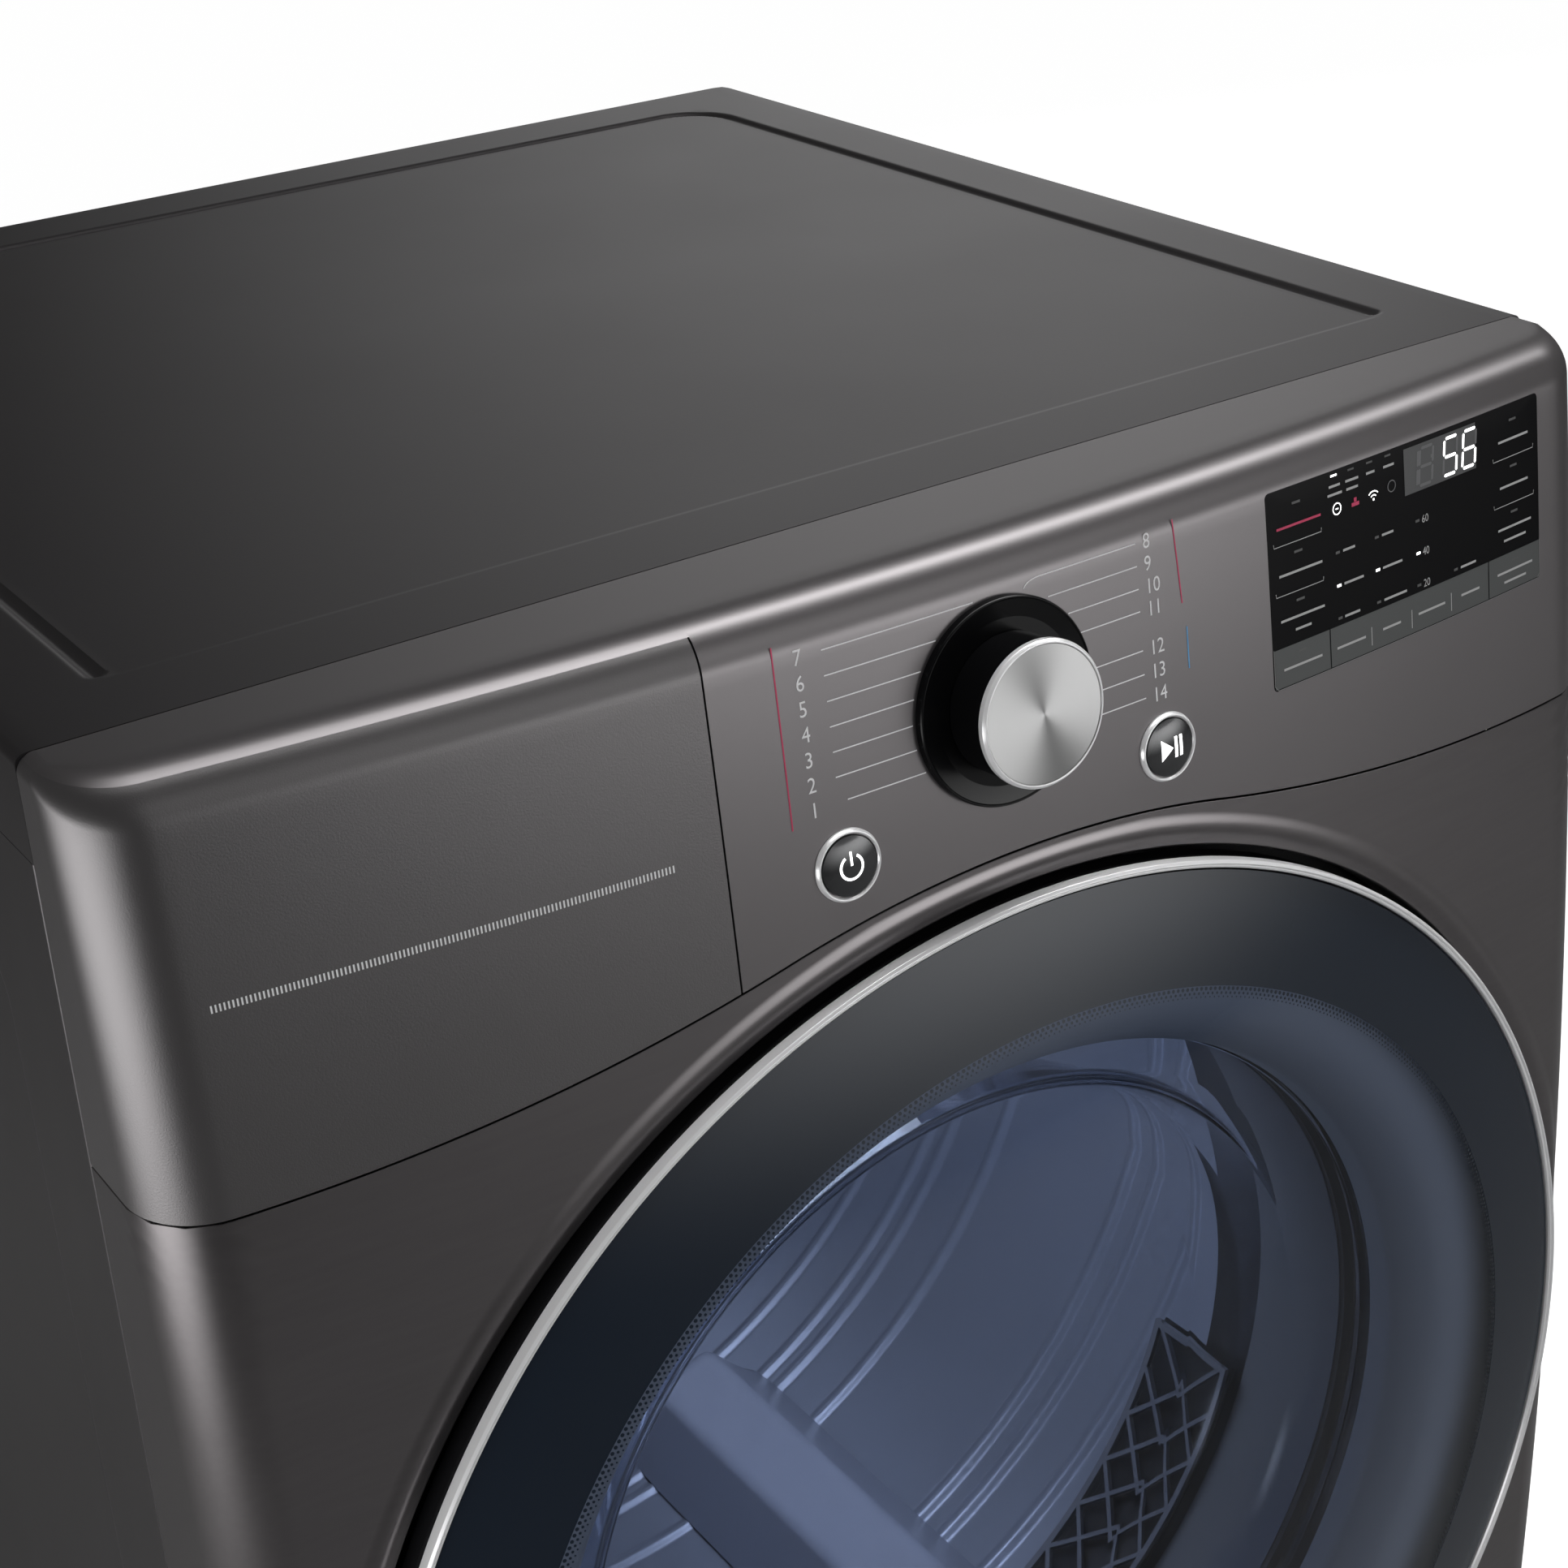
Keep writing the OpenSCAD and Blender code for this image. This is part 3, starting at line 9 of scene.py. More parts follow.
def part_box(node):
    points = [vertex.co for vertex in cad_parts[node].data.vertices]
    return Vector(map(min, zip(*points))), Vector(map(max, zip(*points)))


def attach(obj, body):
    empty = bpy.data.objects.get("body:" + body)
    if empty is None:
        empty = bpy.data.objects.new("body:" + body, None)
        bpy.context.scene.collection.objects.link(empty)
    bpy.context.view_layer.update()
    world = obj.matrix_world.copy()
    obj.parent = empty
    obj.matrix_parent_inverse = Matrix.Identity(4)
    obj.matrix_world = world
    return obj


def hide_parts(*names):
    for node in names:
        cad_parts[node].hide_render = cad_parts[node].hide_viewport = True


# Looks for a clothes dryer: skins, glass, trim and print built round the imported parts.
# Lengths below are millimetres; makePiece turns them into metres.
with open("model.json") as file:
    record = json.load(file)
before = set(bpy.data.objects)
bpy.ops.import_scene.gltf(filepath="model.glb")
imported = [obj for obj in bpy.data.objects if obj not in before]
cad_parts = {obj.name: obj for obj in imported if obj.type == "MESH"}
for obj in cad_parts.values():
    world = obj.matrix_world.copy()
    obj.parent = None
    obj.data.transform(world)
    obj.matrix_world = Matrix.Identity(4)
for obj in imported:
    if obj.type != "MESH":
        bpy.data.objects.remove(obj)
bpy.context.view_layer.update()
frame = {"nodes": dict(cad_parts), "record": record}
mm = 0.001
print("frame loaded:", len(frame["nodes"]), "parts")

case = {
    "halfWidth": 343.0,      # half the width over the sides
    "top": 990.0,            # height of the top
    "bowAcross": 2700.0,     # radius of the front's bow, side to side
    "bowUp": 4500.0,         # radius of the front's bow, top to bottom
    "bowMid": 390.0,         # height where the front stands out most
    "cornerRadius": 30.0,    # upright front corners
    "noseDepth": 101.0,      # how far the front's crown leads the joint
    "fit": 0.3,              # gap between covers and top plate
    "panelLow": 24.0,        # lower edge of the front panel and the sides
    "sideHigh": 950.4,       # upper edge of the sides
    "doorHeight": 541.0,     # height of the door's centre
    "doorTilt": math.radians(1.8),
    "ringSet": 10.2,         # ring plane behind the front's crown
}
sheet = 1.2  # thickness of the pressed steel
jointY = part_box("top_plate")[0].y / mm - case["fit"]
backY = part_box("top_plate")[1].y / mm
crownY = jointY - case["noseDepth"]
ringY = crownY + case["ringSet"]


# Quads between neighbouring rows and columns of a grid, optionally closing the columns into a loop
def gridFaces(rows, cols, loop=False):
    r, c = np.meshgrid(np.arange(rows - 1), np.arange(cols if loop else cols - 1), indexing="ij")
    n = (c + 1) % cols
    quads = np.stack([r * cols + c, r * cols + n, (r + 1) * cols + n, (r + 1) * cols + c], -1)
    return quads.reshape(-1, 4).tolist()


# Puts several (points, faces) patches into one mesh object, welds them, and turns the faces outwards.
# The finish is the slot's own unless look names another; print has a look and no slot.
def makePiece(name, patches, body, slotName, replaces=(), inside=None, thickness=0.0, sharp=32.0, turn=True,
              spun=None, look=None):
    points, faces, start = [], [], 0
    for patchPoints, patchFaces in patches:
        patchPoints = np.asarray(patchPoints, float).reshape(-1, 3)
        points.append(patchPoints)
        faces += [[i + start for i in face] for face in patchFaces]
        start += len(patchPoints)
    mesh = bpy.data.meshes.new(name)
    mesh.from_pydata((np.concatenate(points) * mm).tolist(), [], faces)
    work = bmesh.new()
    work.from_mesh(mesh)
    bmesh.ops.remove_doubles(work, verts=work.verts, dist=2e-6)
    bmesh.ops.dissolve_degenerate(work, edges=work.edges, dist=1e-7)
    if turn:
        bmesh.ops.recalc_face_normals(work, faces=work.faces)
    if inside is not None:
        middle = Vector(inside) * mm
        if sum(f.calc_area() * f.normal.dot(f.calc_center_median() - middle) for f in work.faces) < 0:
            bmesh.ops.reverse_faces(work, faces=work.faces)
    work.to_mesh(mesh)
    work.free()
    piece = bpy.data.objects.new(name, mesh)
    bpy.context.scene.collection.objects.link(piece)
    if thickness:
        wall = piece.modifiers.new("wall", "SOLIDIFY")
        wall.thickness, wall.offset, wall.use_even_offset = thickness * mm, -1, True
        solid = bpy.data.meshes.new_from_object(piece.evaluated_get(bpy.context.evaluated_depsgraph_get()))
        piece.modifiers.clear()
        piece.data = solid
    piece.data.shade_smooth()
    piece.data.set_sharp_from_angle(angle=math.radians(sharp))
    if spun:
        spinMap(piece.data, spun)
    piece.data.materials.clear()
    piece.data.materials.append(finishes[look or slotName])
    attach(piece, body)
    if replaces:
        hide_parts(*replaces)
    return piece


# One named value of each item of a mesh's collection, as an array
def readAll(items, name, wide=1, kind=float):
    values = np.empty(len(items) * wide, kind)
    items.foreach_get(name, values)
    return values.reshape(-1, wide) if wide > 1 else values


# Gives the vertices that lie on the given points the exact normals of the surface they were taken from
def layNormals(piece, points, normals):
    co = readAll(piece.data.vertices, "co", 3)
    points, normals = points.reshape(-1, 3) * mm, normals.reshape(-1, 3)
    given = np.zeros((len(co), 3))
    # a vertex and its point share a cell of 0.02 mm, in one grid or in the same one moved by half a cell
    for shift in (0.0, 0.5):
        cells = np.floor(np.concatenate([points, co]) / 2e-5 + shift).astype(np.int64)
        _, group = np.unique(cells, axis=0, return_inverse=True)
        group = group.ravel()
        held = np.zeros((group.max() + 1, 3))
        held[group[:len(points)]] = normals
        found = held[group[len(points):]]
        given = np.where(np.any(given, axis=1)[:, None], given, found)
    piece.data.normals_split_custom_set_from_vertices(given.tolist())
    print("exact normals:", int(np.any(given, axis=1).sum()), "of", len(points))


# UV from a place: U is the turn about its out axis, V the distance from it, for turned and spun metal
def spinMap(mesh, place):
    origin, axes = place
    loops = readAll(mesh.loops, "vertex_index", kind=int)
    first = readAll(mesh.polygons, "loop_start", kind=int)
    count = readAll(mesh.polygons, "loop_total", kind=int)
    local = (readAll(mesh.vertices, "co", 3)[loops] / mm - origin) @ axes.T
    u, v = np.arctan2(local[:, 1], local[:, 0]) / (2 * math.pi), np.hypot(local[:, 0], local[:, 1]) * mm
    # U stays within half a turn of the face's first corner, and takes the face's mean at the pole
    start = np.repeat(u[first], count)
    near = start + (u - start + 0.5) % 1.0 - 0.5
    off = v < 1e-6
    face = np.repeat(np.arange(len(count)), count)
    mean = np.bincount(face, np.where(off, 0, near)) / np.maximum(np.bincount(face, ~off), 1)
    near = np.where(off, mean[face], near)
    mesh.uv_layers.new(name="spin").data.foreach_set("uv", np.stack([near, v], -1).ravel())


# A profile of (radius, height) pairs turned about the frame's own out axis; the loop closes on itself
def turned(profile, place, around=180, closed=True, angle0=0.0, angle1=2 * math.pi):
    profile = np.asarray(profile, float)
    if closed:
        profile = np.vstack([profile, profile[:1]])
    whole = abs(angle1 - angle0 - 2 * math.pi) < 1e-6
    a = np.linspace(angle0, angle1, around, endpoint=not whole)
    r, h = profile[:, :1], profile[:, 1:]
    local = np.stack([r * np.cos(a), r * np.sin(a), h + 0 * a], -1)
    return carry(local, place), gridFaces(len(profile), len(a), loop=whole)


# Rounds each corner of a polyline: points[i] with radius radii[i], as a short arc of steps points
def softened(points, radii, steps=5):
    pts = np.asarray(points, float)
    out = []
    for i, (p, r) in enumerate(zip(pts, radii)):
        a, b = pts[i - 1] - p, pts[(i + 1) % len(pts)] - p
        if r <= 0:
            out.append(p[None])
            continue
        la, lb = np.linalg.norm(a), np.linalg.norm(b)
        half = 0.5 * math.acos(np.clip(a @ b / (la * lb), -1, 1))
        run = min(r / math.tan(half), 0.49 * la, 0.49 * lb)
        t = np.linspace(0, 1, steps)[:, None]
        p0, p2 = p + a / la * run, p + b / lb * run
        w = math.sin(half)
        a, b, c = (1 - t) ** 2, 2 * w * t * (1 - t), t ** 2
        out.append((a * p0 + b * p + c * p2) / (a + b + c))
    return np.vstack(out)


# Moves local (right, up, out) points into the row frame: origin plus each axis times its coordinate
def carry(local, place):
    origin, axes = place
    return origin + np.asarray(local) @ axes


# The front's plan: a bow, a corner arc that touches it, and a straight side back to the joint
cornerX = case["halfWidth"] - case["cornerRadius"]              # x of the corner arc's middle
innerBow = case["bowAcross"] - case["cornerRadius"]             # bow through that middle
turn0 = math.asin(cornerX / innerBow)                           # turn of the normal where bow and corner touch
touchX = cornerX * case["bowAcross"] / innerBow                 # x of that touch, and the run up to it
midRho = case["bowUp"] - case["bowAcross"]                      # reach of the bow's middle
cornerRho = midRho + math.sqrt(innerBow ** 2 - cornerX ** 2)    # reach of the corner arc's middle
arcEnd = touchX + case["cornerRadius"] * (math.pi / 2 - turn0)  # run where the corner arc ends
sideRun = 40.0                                                  # run of the straight side
edgeS = arcEnd + sideRun


# Plan outline by s, the run from the middle: crowned face, round corner, straight side.
# Gives x, the reach rho from the bow's axis, the turn of the normal, and how far along the side.
def plan(s):
    s = np.asarray(s, float)
    a, sign = np.abs(s), np.where(s < 0, -1.0, 1.0)
    onFaceRun = np.minimum(a, touchX)
    turn = np.where(a < touchX, np.arcsin(onFaceRun / case["bowAcross"]),
                    np.clip(turn0 + (a - touchX) / case["cornerRadius"], 0, math.pi / 2))
    x = np.where(a < touchX, a, cornerX + case["cornerRadius"] * np.sin(turn))
    rho = np.where(a < touchX, midRho + np.sqrt(case["bowAcross"] ** 2 - onFaceRun ** 2),
                   cornerRho + case["cornerRadius"] * np.cos(turn))
    return sign * x, rho, sign * turn, np.clip((a - arcEnd) / sideRun, 0, 1)


# The run s that lies at a given x on the face or the corner
def runAt(x):
    a, sign = np.abs(x), np.where(np.asarray(x) < 0, -1.0, 1.0)
    bend = np.arcsin(np.clip((a - cornerX) / case["cornerRadius"], -1, 1))
    return sign * np.where(a < touchX, a, touchX + case["cornerRadius"] * (bend - turn0))


# Outer skin at (s, z): y is the bow's axis less the root of rho squared less height over the middle squared
def skin(s, z):
    x, rho, turn, side = plan(s)
    y = crownY + case["bowUp"] - np.sqrt(rho ** 2 - (z - case["bowMid"]) ** 2)
    return np.stack([x, y + side * (jointY - y), z + 0 * x], -1)


# Unit normal of the bowed skin at (s, z)
def skinNormal(s, z):
    turn = plan(s)[2]
    up = (z - case["bowMid"]) / case["bowUp"] * np.cos(turn)
    flat = np.sqrt(1 - up ** 2)
    return np.stack([np.sin(turn) * flat, -np.cos(turn) * flat, up], -1)


# A place on the bowed face: origin and its right, up and out axes
def onFace(x, z):
    turn, lean = math.asin(x / case["bowAcross"]), math.asin((z - case["bowMid"]) / case["bowUp"])
    ct, st, cl, sl = math.cos(turn), math.sin(turn), math.cos(lean), math.sin(lean)
    return skin(np.array(float(x)), np.array(float(z))), np.array(
        [[ct, st, 0], [-st * sl, ct * sl, cl], [st * cl, -ct * cl, sl]])


tilt = case["doorTilt"]
onDoor = (np.array([0, ringY, case["doorHeight"]]),
          np.array([[1, 0, 0], [0, math.sin(tilt), math.cos(tilt)], [0, -math.cos(tilt), math.sin(tilt)]]))


# An empty shader node group with the given float inputs and outputs
def newGroup(name, inputs, outputs):
    tree = bpy.data.node_groups.new(name, "ShaderNodeTree")
    for socket, value in inputs.items():
        tree.interface.new_socket(socket, in_out="INPUT", socket_type="NodeSocketFloat").default_value = value
    for socket in outputs:
        tree.interface.new_socket(socket, in_out="OUTPUT", socket_type="NodeSocketFloat")
    return tree, tree.nodes.new("NodeGroupInput"), tree.nodes.new("NodeGroupOutput")


# New shader nodes, one for each kind
def newNodes(tree, *kinds):
    return [tree.nodes.new("ShaderNode" + kind) for kind in kinds]


# A shader group placed in a tree, with the given inputs set
def groupNode(tree, group, **inputs):
    node = tree.nodes.new("ShaderNodeGroup")
    node.node_tree = group
    for socket, value in inputs.items():
        node.inputs[socket].default_value = value
    return node


# A new material and its node tree
def newMaterial(name):
    material = bpy.data.materials.new(name)
    material.use_nodes = True
    return material, material.node_tree


# One arithmetic node; each operand is a number or a socket
def arithmetic(tree, operation, *operands):
    node = tree.nodes.new("ShaderNodeMath")
    node.operation = operation
    for i, value in enumerate(operands):
        if isinstance(value, bpy.types.NodeSocket):
            tree.links.new(value, node.inputs[i])
        else:
            node.inputs[i].default_value = value
    return node.outputs[0]


# Noise over a vector; its scale is a number or a socket
def noise(tree, vector, scale, detail):
    node = tree.nodes.new("ShaderNodeTexNoise")
    node.inputs["Detail"].default_value, node.inputs["Roughness"].default_value = detail, 0.55
    tree.links.new(vector, node.inputs["Vector"])
    if isinstance(scale, bpy.types.NodeSocket):
        tree.links.new(scale, node.inputs["Scale"])
    else:
        node.inputs["Scale"].default_value = scale
    return node.outputs["Fac"]


# Fine speckle of paint or moulded plastic: quick noise for height, slow noise for patches
def buildGrain():
    tree, into, out = newGroup("speckleGrain", {"Scale": 900.0, "Patches": 5.0}, ["Speckle", "Patch"])
    where = tree.nodes.new("ShaderNodeTexCoord").outputs["Object"]
    tree.links.new(noise(tree, where, into.outputs["Scale"], 2.0), out.inputs["Speckle"])
    tree.links.new(noise(tree, where, into.outputs["Patches"], 4.0), out.inputs["Patch"])
    return tree


# Brushed lines: noise stretched along X, one fine layer and one coarse
def buildBrushing():
    tree, into, out = newGroup("brushedLines", {"Along": 9.0, "Across": 1500.0}, ["Lines", "Bands"])
    where, stretch, fine, coarse = newNodes(tree, "TexCoord", "CombineXYZ", "VectorMath", "VectorMath")
    tree.links.new(into.outputs["Along"], stretch.inputs[0])
    for axis in (1, 2):
        tree.links.new(into.outputs["Across"], stretch.inputs[axis])
    fine.operation, coarse.operation, coarse.inputs["Scale"].default_value = "MULTIPLY", "SCALE", 0.16
    tree.links.new(where.outputs["Object"], fine.inputs[0])
    tree.links.new(stretch.outputs[0], fine.inputs[1])
    tree.links.new(fine.outputs[0], coarse.inputs[0])
    tree.links.new(noise(tree, fine.outputs[0], 1.0, 1.0), out.inputs["Lines"])
    tree.links.new(noise(tree, coarse.outputs[0], 1.0, 1.0), out.inputs["Bands"])
    return tree


grainGroup, brushGroup = buildGrain(), buildBrushing()


# A material from one dictionary: colour varies by patch and brushed line, roughness by patch, height by grain
def finish(name, spec):
    material, tree = newMaterial(name)
    shader = tree.nodes["Principled BSDF"]
    grain = groupNode(tree, grainGroup, Scale=spec.get("grain", 900.0), Patches=spec.get("patches", 5.0))
    speckle, patch = grain.outputs["Speckle"], grain.outputs["Patch"]
    tone = patch
    if "brush" in spec:
        along, across = spec["brush"]
        brush = groupNode(tree, brushGroup, Along=along, Across=across)
        both = arithmetic(tree, "MULTIPLY_ADD", brush.outputs["Bands"], 0.7, brush.outputs["Lines"])
        tone = arithmetic(tree, "MULTIPLY_ADD", arithmetic(tree, "SUBTRACT", both, 0.85), 0.9, patch)
    blend, bump = newNodes(tree, "Mix", "Bump")
    blend.data_type = "RGBA"
    tree.links.new(tone, blend.inputs["Factor"])
    colour, spread = np.array(spec["colour"]), spec.get("spread", 0.12)
    blend.inputs["A"].default_value = (*np.clip(colour * (1 - spread), 0, 1), 1)
    blend.inputs["B"].default_value = (*np.clip(colour * (1 + spread), 0, 1), 1)
    tree.links.new(blend.outputs["Result"], shader.inputs["Base Color"])
    roughSpread = spec.get("roughSpread", 0.08)
    rough = arithmetic(tree, "MULTIPLY_ADD", patch, roughSpread, spec["rough"] - roughSpread / 2)
    tree.links.new(rough, shader.inputs["Roughness"])
    bump.inputs["Strength"].default_value = spec.get("bump", 0.12)
    bump.inputs["Distance"].default_value = 0.0002
    tree.links.new(speckle, bump.inputs["Height"])
    tree.links.new(bump.outputs["Normal"], shader.inputs["Normal"])
    for socket, value in (("Metallic", spec.get("metal", 0.0)), ("Coat Weight", spec.get("coat", 0.0)),
                          ("Coat Roughness", 0.08), ("Specular IOR Level", spec.get("specular", 0.5)),
                          ("Sheen Weight", spec.get("sheen", 0.0))):
        shader.inputs[socket].default_value = value
    if "spun" in spec:
        shader.inputs["Anisotropic"].default_value = spec["spun"]
        tangent = tree.nodes.new("ShaderNodeTangent")
        tangent.direction_type, tangent.uv_map = "UV_MAP", "spin"
        tree.links.new(tangent.outputs[0], shader.inputs["Tangent"])
    if "glow" in spec:
        shader.inputs["Emission Color"].default_value = (*spec["colour"], 1)
        shader.inputs["Emission Strength"].default_value = spec["glow"]
    return material


# Tinted glass: plain transmission, roughness by smudges, and shadows that pass the tint
def glassFinish(name, spec):
    material, tree = newMaterial(name)
    shader, out = tree.nodes["Principled BSDF"], tree.nodes["Material Output"]
    clear, path, mix = newNodes(tree, "BsdfTransparent", "LightPath", "MixShader")
    grain = groupNode(tree, grainGroup, Patches=9.0)
    rough = arithmetic(tree, "MULTIPLY", grain.outputs["Patch"], spec["smudge"])
    tree.links.new(rough, shader.inputs["Roughness"])
    shader.inputs["Base Color"].default_value = (*spec["colour"], 1)
    shader.inputs["Transmission Weight"].default_value = 1.0
    shader.inputs["IOR"].default_value = spec["ior"]
    clear.inputs["Color"].default_value = (*spec["shadow"], 1)
    passing = arithmetic(tree, "MAXIMUM", path.outputs["Is Shadow Ray"], path.outputs["Is Diffuse Ray"])
    tree.links.new(passing, mix.inputs[0])
    tree.links.new(shader.outputs[0], mix.inputs[1])
    tree.links.new(clear.outputs[0], mix.inputs[2])
    tree.links.new(mix.outputs[0], out.inputs["Surface"])
    return material


printed = {"rough": 0.45, "grain": 1500, "bump": 0.03}
finishSpecs = {
    "cabinet_paint": {"colour": (0.072, 0.068, 0.070), "rough": 0.36, "grain": 1400, "bump": 0.10,
                      "metal": 0.82, "spread": 0.06},
    "front_finish": {"colour": (0.160, 0.150, 0.153), "rough": 0.28, "metal": 0.9, "brush": (2.5, 380),
                     "bump": 0.01, "spread": 0.06, "roughSpread": 0.03},
    "console_finish": {"colour": (0.155, 0.146, 0.149), "rough": 0.33, "metal": 0.75, "grain": 2600,
                       "bump": 0.06, "spread": 0.06},
    "cover_finish": {"colour": (0.130, 0.124, 0.126), "rough": 0.36, "metal": 0.72, "grain": 1700,
                     "bump": 0.22, "spread": 0.08},
    "zinc_steel": {"colour": (0.52, 0.53, 0.55), "rough": 0.38, "metal": 1.0, "grain": 120, "patches": 28,
                   "bump": 0.05, "spread": 0.2},
    "screen_black": {"colour": (0.0045, 0.0045, 0.005), "rough": 0.32, "grain": 300, "bump": 0.01,
                     "specular": 0.05},
    "board_green": {"colour": (0.03, 0.16, 0.07), "rough": 0.42, "grain": 500, "patches": 60, "spread": 0.3},
    "bezel_black": {"colour": (0.004, 0.004, 0.0045), "rough": 0.2, "grain": 300, "bump": 0.01,
                    "specular": 0.16},
    "knob_metal": {"colour": (0.40, 0.40, 0.40), "rough": 0.28, "metal": 1.0, "grain": 2000, "bump": 0.0,
                   "spread": 0.04, "spun": 0.85},
    "button_dark": {"colour": (0.035, 0.036, 0.038), "rough": 0.24, "metal": 0.4, "grain": 2000,
                    "bump": 0.03, "coat": 0.5},
    "trim_chrome": {"colour": (0.95, 0.95, 0.96), "rough": 0.22, "metal": 0.30, "grain": 700, "bump": 0.01,
                    "spread": 0.04},
    "moulding_black": {"colour": (0.012, 0.012, 0.013), "rough": 0.38, "grain": 1100, "bump": 0.25},
    "frame_black": {"colour": (0.010, 0.010, 0.011), "rough": 0.16, "grain": 500, "bump": 0.02, "coat": 0.5},
    "seal_rubber": {"colour": (0.016, 0.016, 0.016), "rough": 0.62, "grain": 600, "bump": 0.2},
    "felt": {"colour": (0.52, 0.47, 0.39), "rough": 0.9, "grain": 2600, "bump": 0.6, "sheen": 0.4,
             "spread": 0.2},
    "drum_enamel": {"colour": (0.40, 0.43, 0.50), "rough": 0.34, "metal": 0.7, "grain": 800, "bump": 0.05},
    "baffle_grey": {"colour": (0.30, 0.32, 0.38), "rough": 0.36, "bump": 0.1},
    "lamp_white": {"colour": (0.80, 0.86, 1.0), "rough": 0.35, "glow": 9.0},
    "filter_grey": {"colour": (0.10, 0.105, 0.12), "rough": 0.4, "grain": 1400, "bump": 0.3},
    "belt_black": {"colour": (0.02, 0.02, 0.02), "rough": 0.6, "grain": 500, "bump": 0.3},
    "roller_rubber": {"colour": (0.03, 0.03, 0.032), "rough": 0.55, "grain": 700, "bump": 0.2},
    "motor_steel": {"colour": (0.25, 0.26, 0.27), "rough": 0.4, "metal": 0.6, "grain": 500, "bump": 0.1},
    "shaft_steel": {"colour": (0.56, 0.56, 0.57), "rough": 0.28, "metal": 1.0, "grain": 1500, "bump": 0.06},
    "fan_plastic": {"colour": (0.09, 0.094, 0.1), "rough": 0.45, "bump": 0.15},
    "duct_metal": {"colour": (0.58, 0.59, 0.60), "rough": 0.32, "metal": 1.0, "grain": 200, "patches": 18,
                   "bump": 0.06, "spread": 0.15},
    "spring_steel": {"colour": (0.42, 0.42, 0.42), "rough": 0.35, "metal": 1.0},
    "coil_metal": {"colour": (0.26, 0.18, 0.12), "rough": 0.5, "metal": 0.8, "grain": 600, "spread": 0.35},
    "valve_blue": {"colour": (0.05, 0.15, 0.32), "rough": 0.38, "grain": 700, "bump": 0.1},
    "block_cream": {"colour": (0.60, 0.53, 0.38), "rough": 0.42, "grain": 700, "bump": 0.1},
    "foot_black": {"colour": (0.015, 0.015, 0.015), "rough": 0.65, "grain": 500, "bump": 0.3},
    "screw_zinc": {"colour": (0.50, 0.50, 0.52), "rough": 0.3, "metal": 1.0, "grain": 1200, "bump": 0.08},
    # below: looks without a slot, for ink, print and the display
    "borderInk": {"colour": (0.007, 0.013, 0.024), "rough": 0.24, "roughSpread": 0.01, "grain": 400,
                  "bump": 0.0, "specular": 0.33},
    "printWhite": {"colour": (0.86, 0.86, 0.87), **printed},
    "printRed": {"colour": (0.55, 0.02, 0.10), **printed},
    "printBlue": {"colour": (0.09, 0.36, 0.70), **printed},
    "screenGrey": {"colour": (0.058, 0.062, 0.062), **printed, "rough": 0.35},
    "screenEdge": {"colour": (0.20, 0.20, 0.20), **printed},
    "screenText": {"colour": (0.44, 0.44, 0.44), **printed, "rough": 0.5},
    "ledDim": {"colour": (0.075, 0.075, 0.075), **printed},
    "ledFaint": {"colour": (0.115, 0.115, 0.12), **printed},
    "windowGrey": {"colour": (0.052, 0.053, 0.055), **printed, "rough": 0.35},
    "ledLit": {"colour": (1.0, 1.0, 1.0), **printed, "rough": 0.4, "glow": 2.2},
}
glassSpecs = {
    "smoked_glass": {"colour": (0.42, 0.45, 0.51), "shadow": (0.45, 0.48, 0.55), "smudge": 0.03, "ior": 1.22},
    "bowl_glass": {"colour": (0.80, 0.84, 0.92), "shadow": (0.8, 0.84, 0.92), "smudge": 0.006, "ior": 1.46},
}
finishes = {name: finish(name, spec) for name, spec in finishSpecs.items()}
finishes.update({name: glassFinish(name, spec) for name, spec in glassSpecs.items()})

blackened = ("door_hinge_leaf", "hinge_bracket", "hinge_pin", "door_screws")
for part in frame["record"]["subparts"]:
    for slotHolder in frame["nodes"][part["node"]].material_slots:
        slotHolder.material = finishes["frame_black" if part["node"] in blackened else part["material_slot"]]
print("finishes made:", len(finishes))


# Console: its lower edge is an arch, and its brow rounds back over the top
console = {"low": 835.0, "archRise": 36.5, "archMid": 452.0, "archHalf": 315.0, "brow": 20.0, "sideBrow": 7.0,
           "wall": 2.6, "seamAt": -124.0, "seamGap": 0.8, "coverTop": 986.1, "lean": 0.129}
archSum = (console["archHalf"] ** 2 + console["archRise"] ** 2) / (2 * console["archRise"])
archEnd = archSum - console["archMid"]
archJoin = console["archMid"] * console["archHalf"] / archSum


# Height of the console's lower edge: a crown arc between two upturned end arcs, flat outside them
def archHeight(x):
    a = np.abs(x)
    crown = console["low"] + console["archRise"] - console["archMid"] + np.sqrt(
        console["archMid"] ** 2 - np.minimum(a, archJoin) ** 2)
    end = console["low"] + archEnd - np.sqrt(archEnd ** 2 - np.clip(console["archHalf"] - a, 0, None) ** 2)
    return np.where(a < archJoin, crown, end)


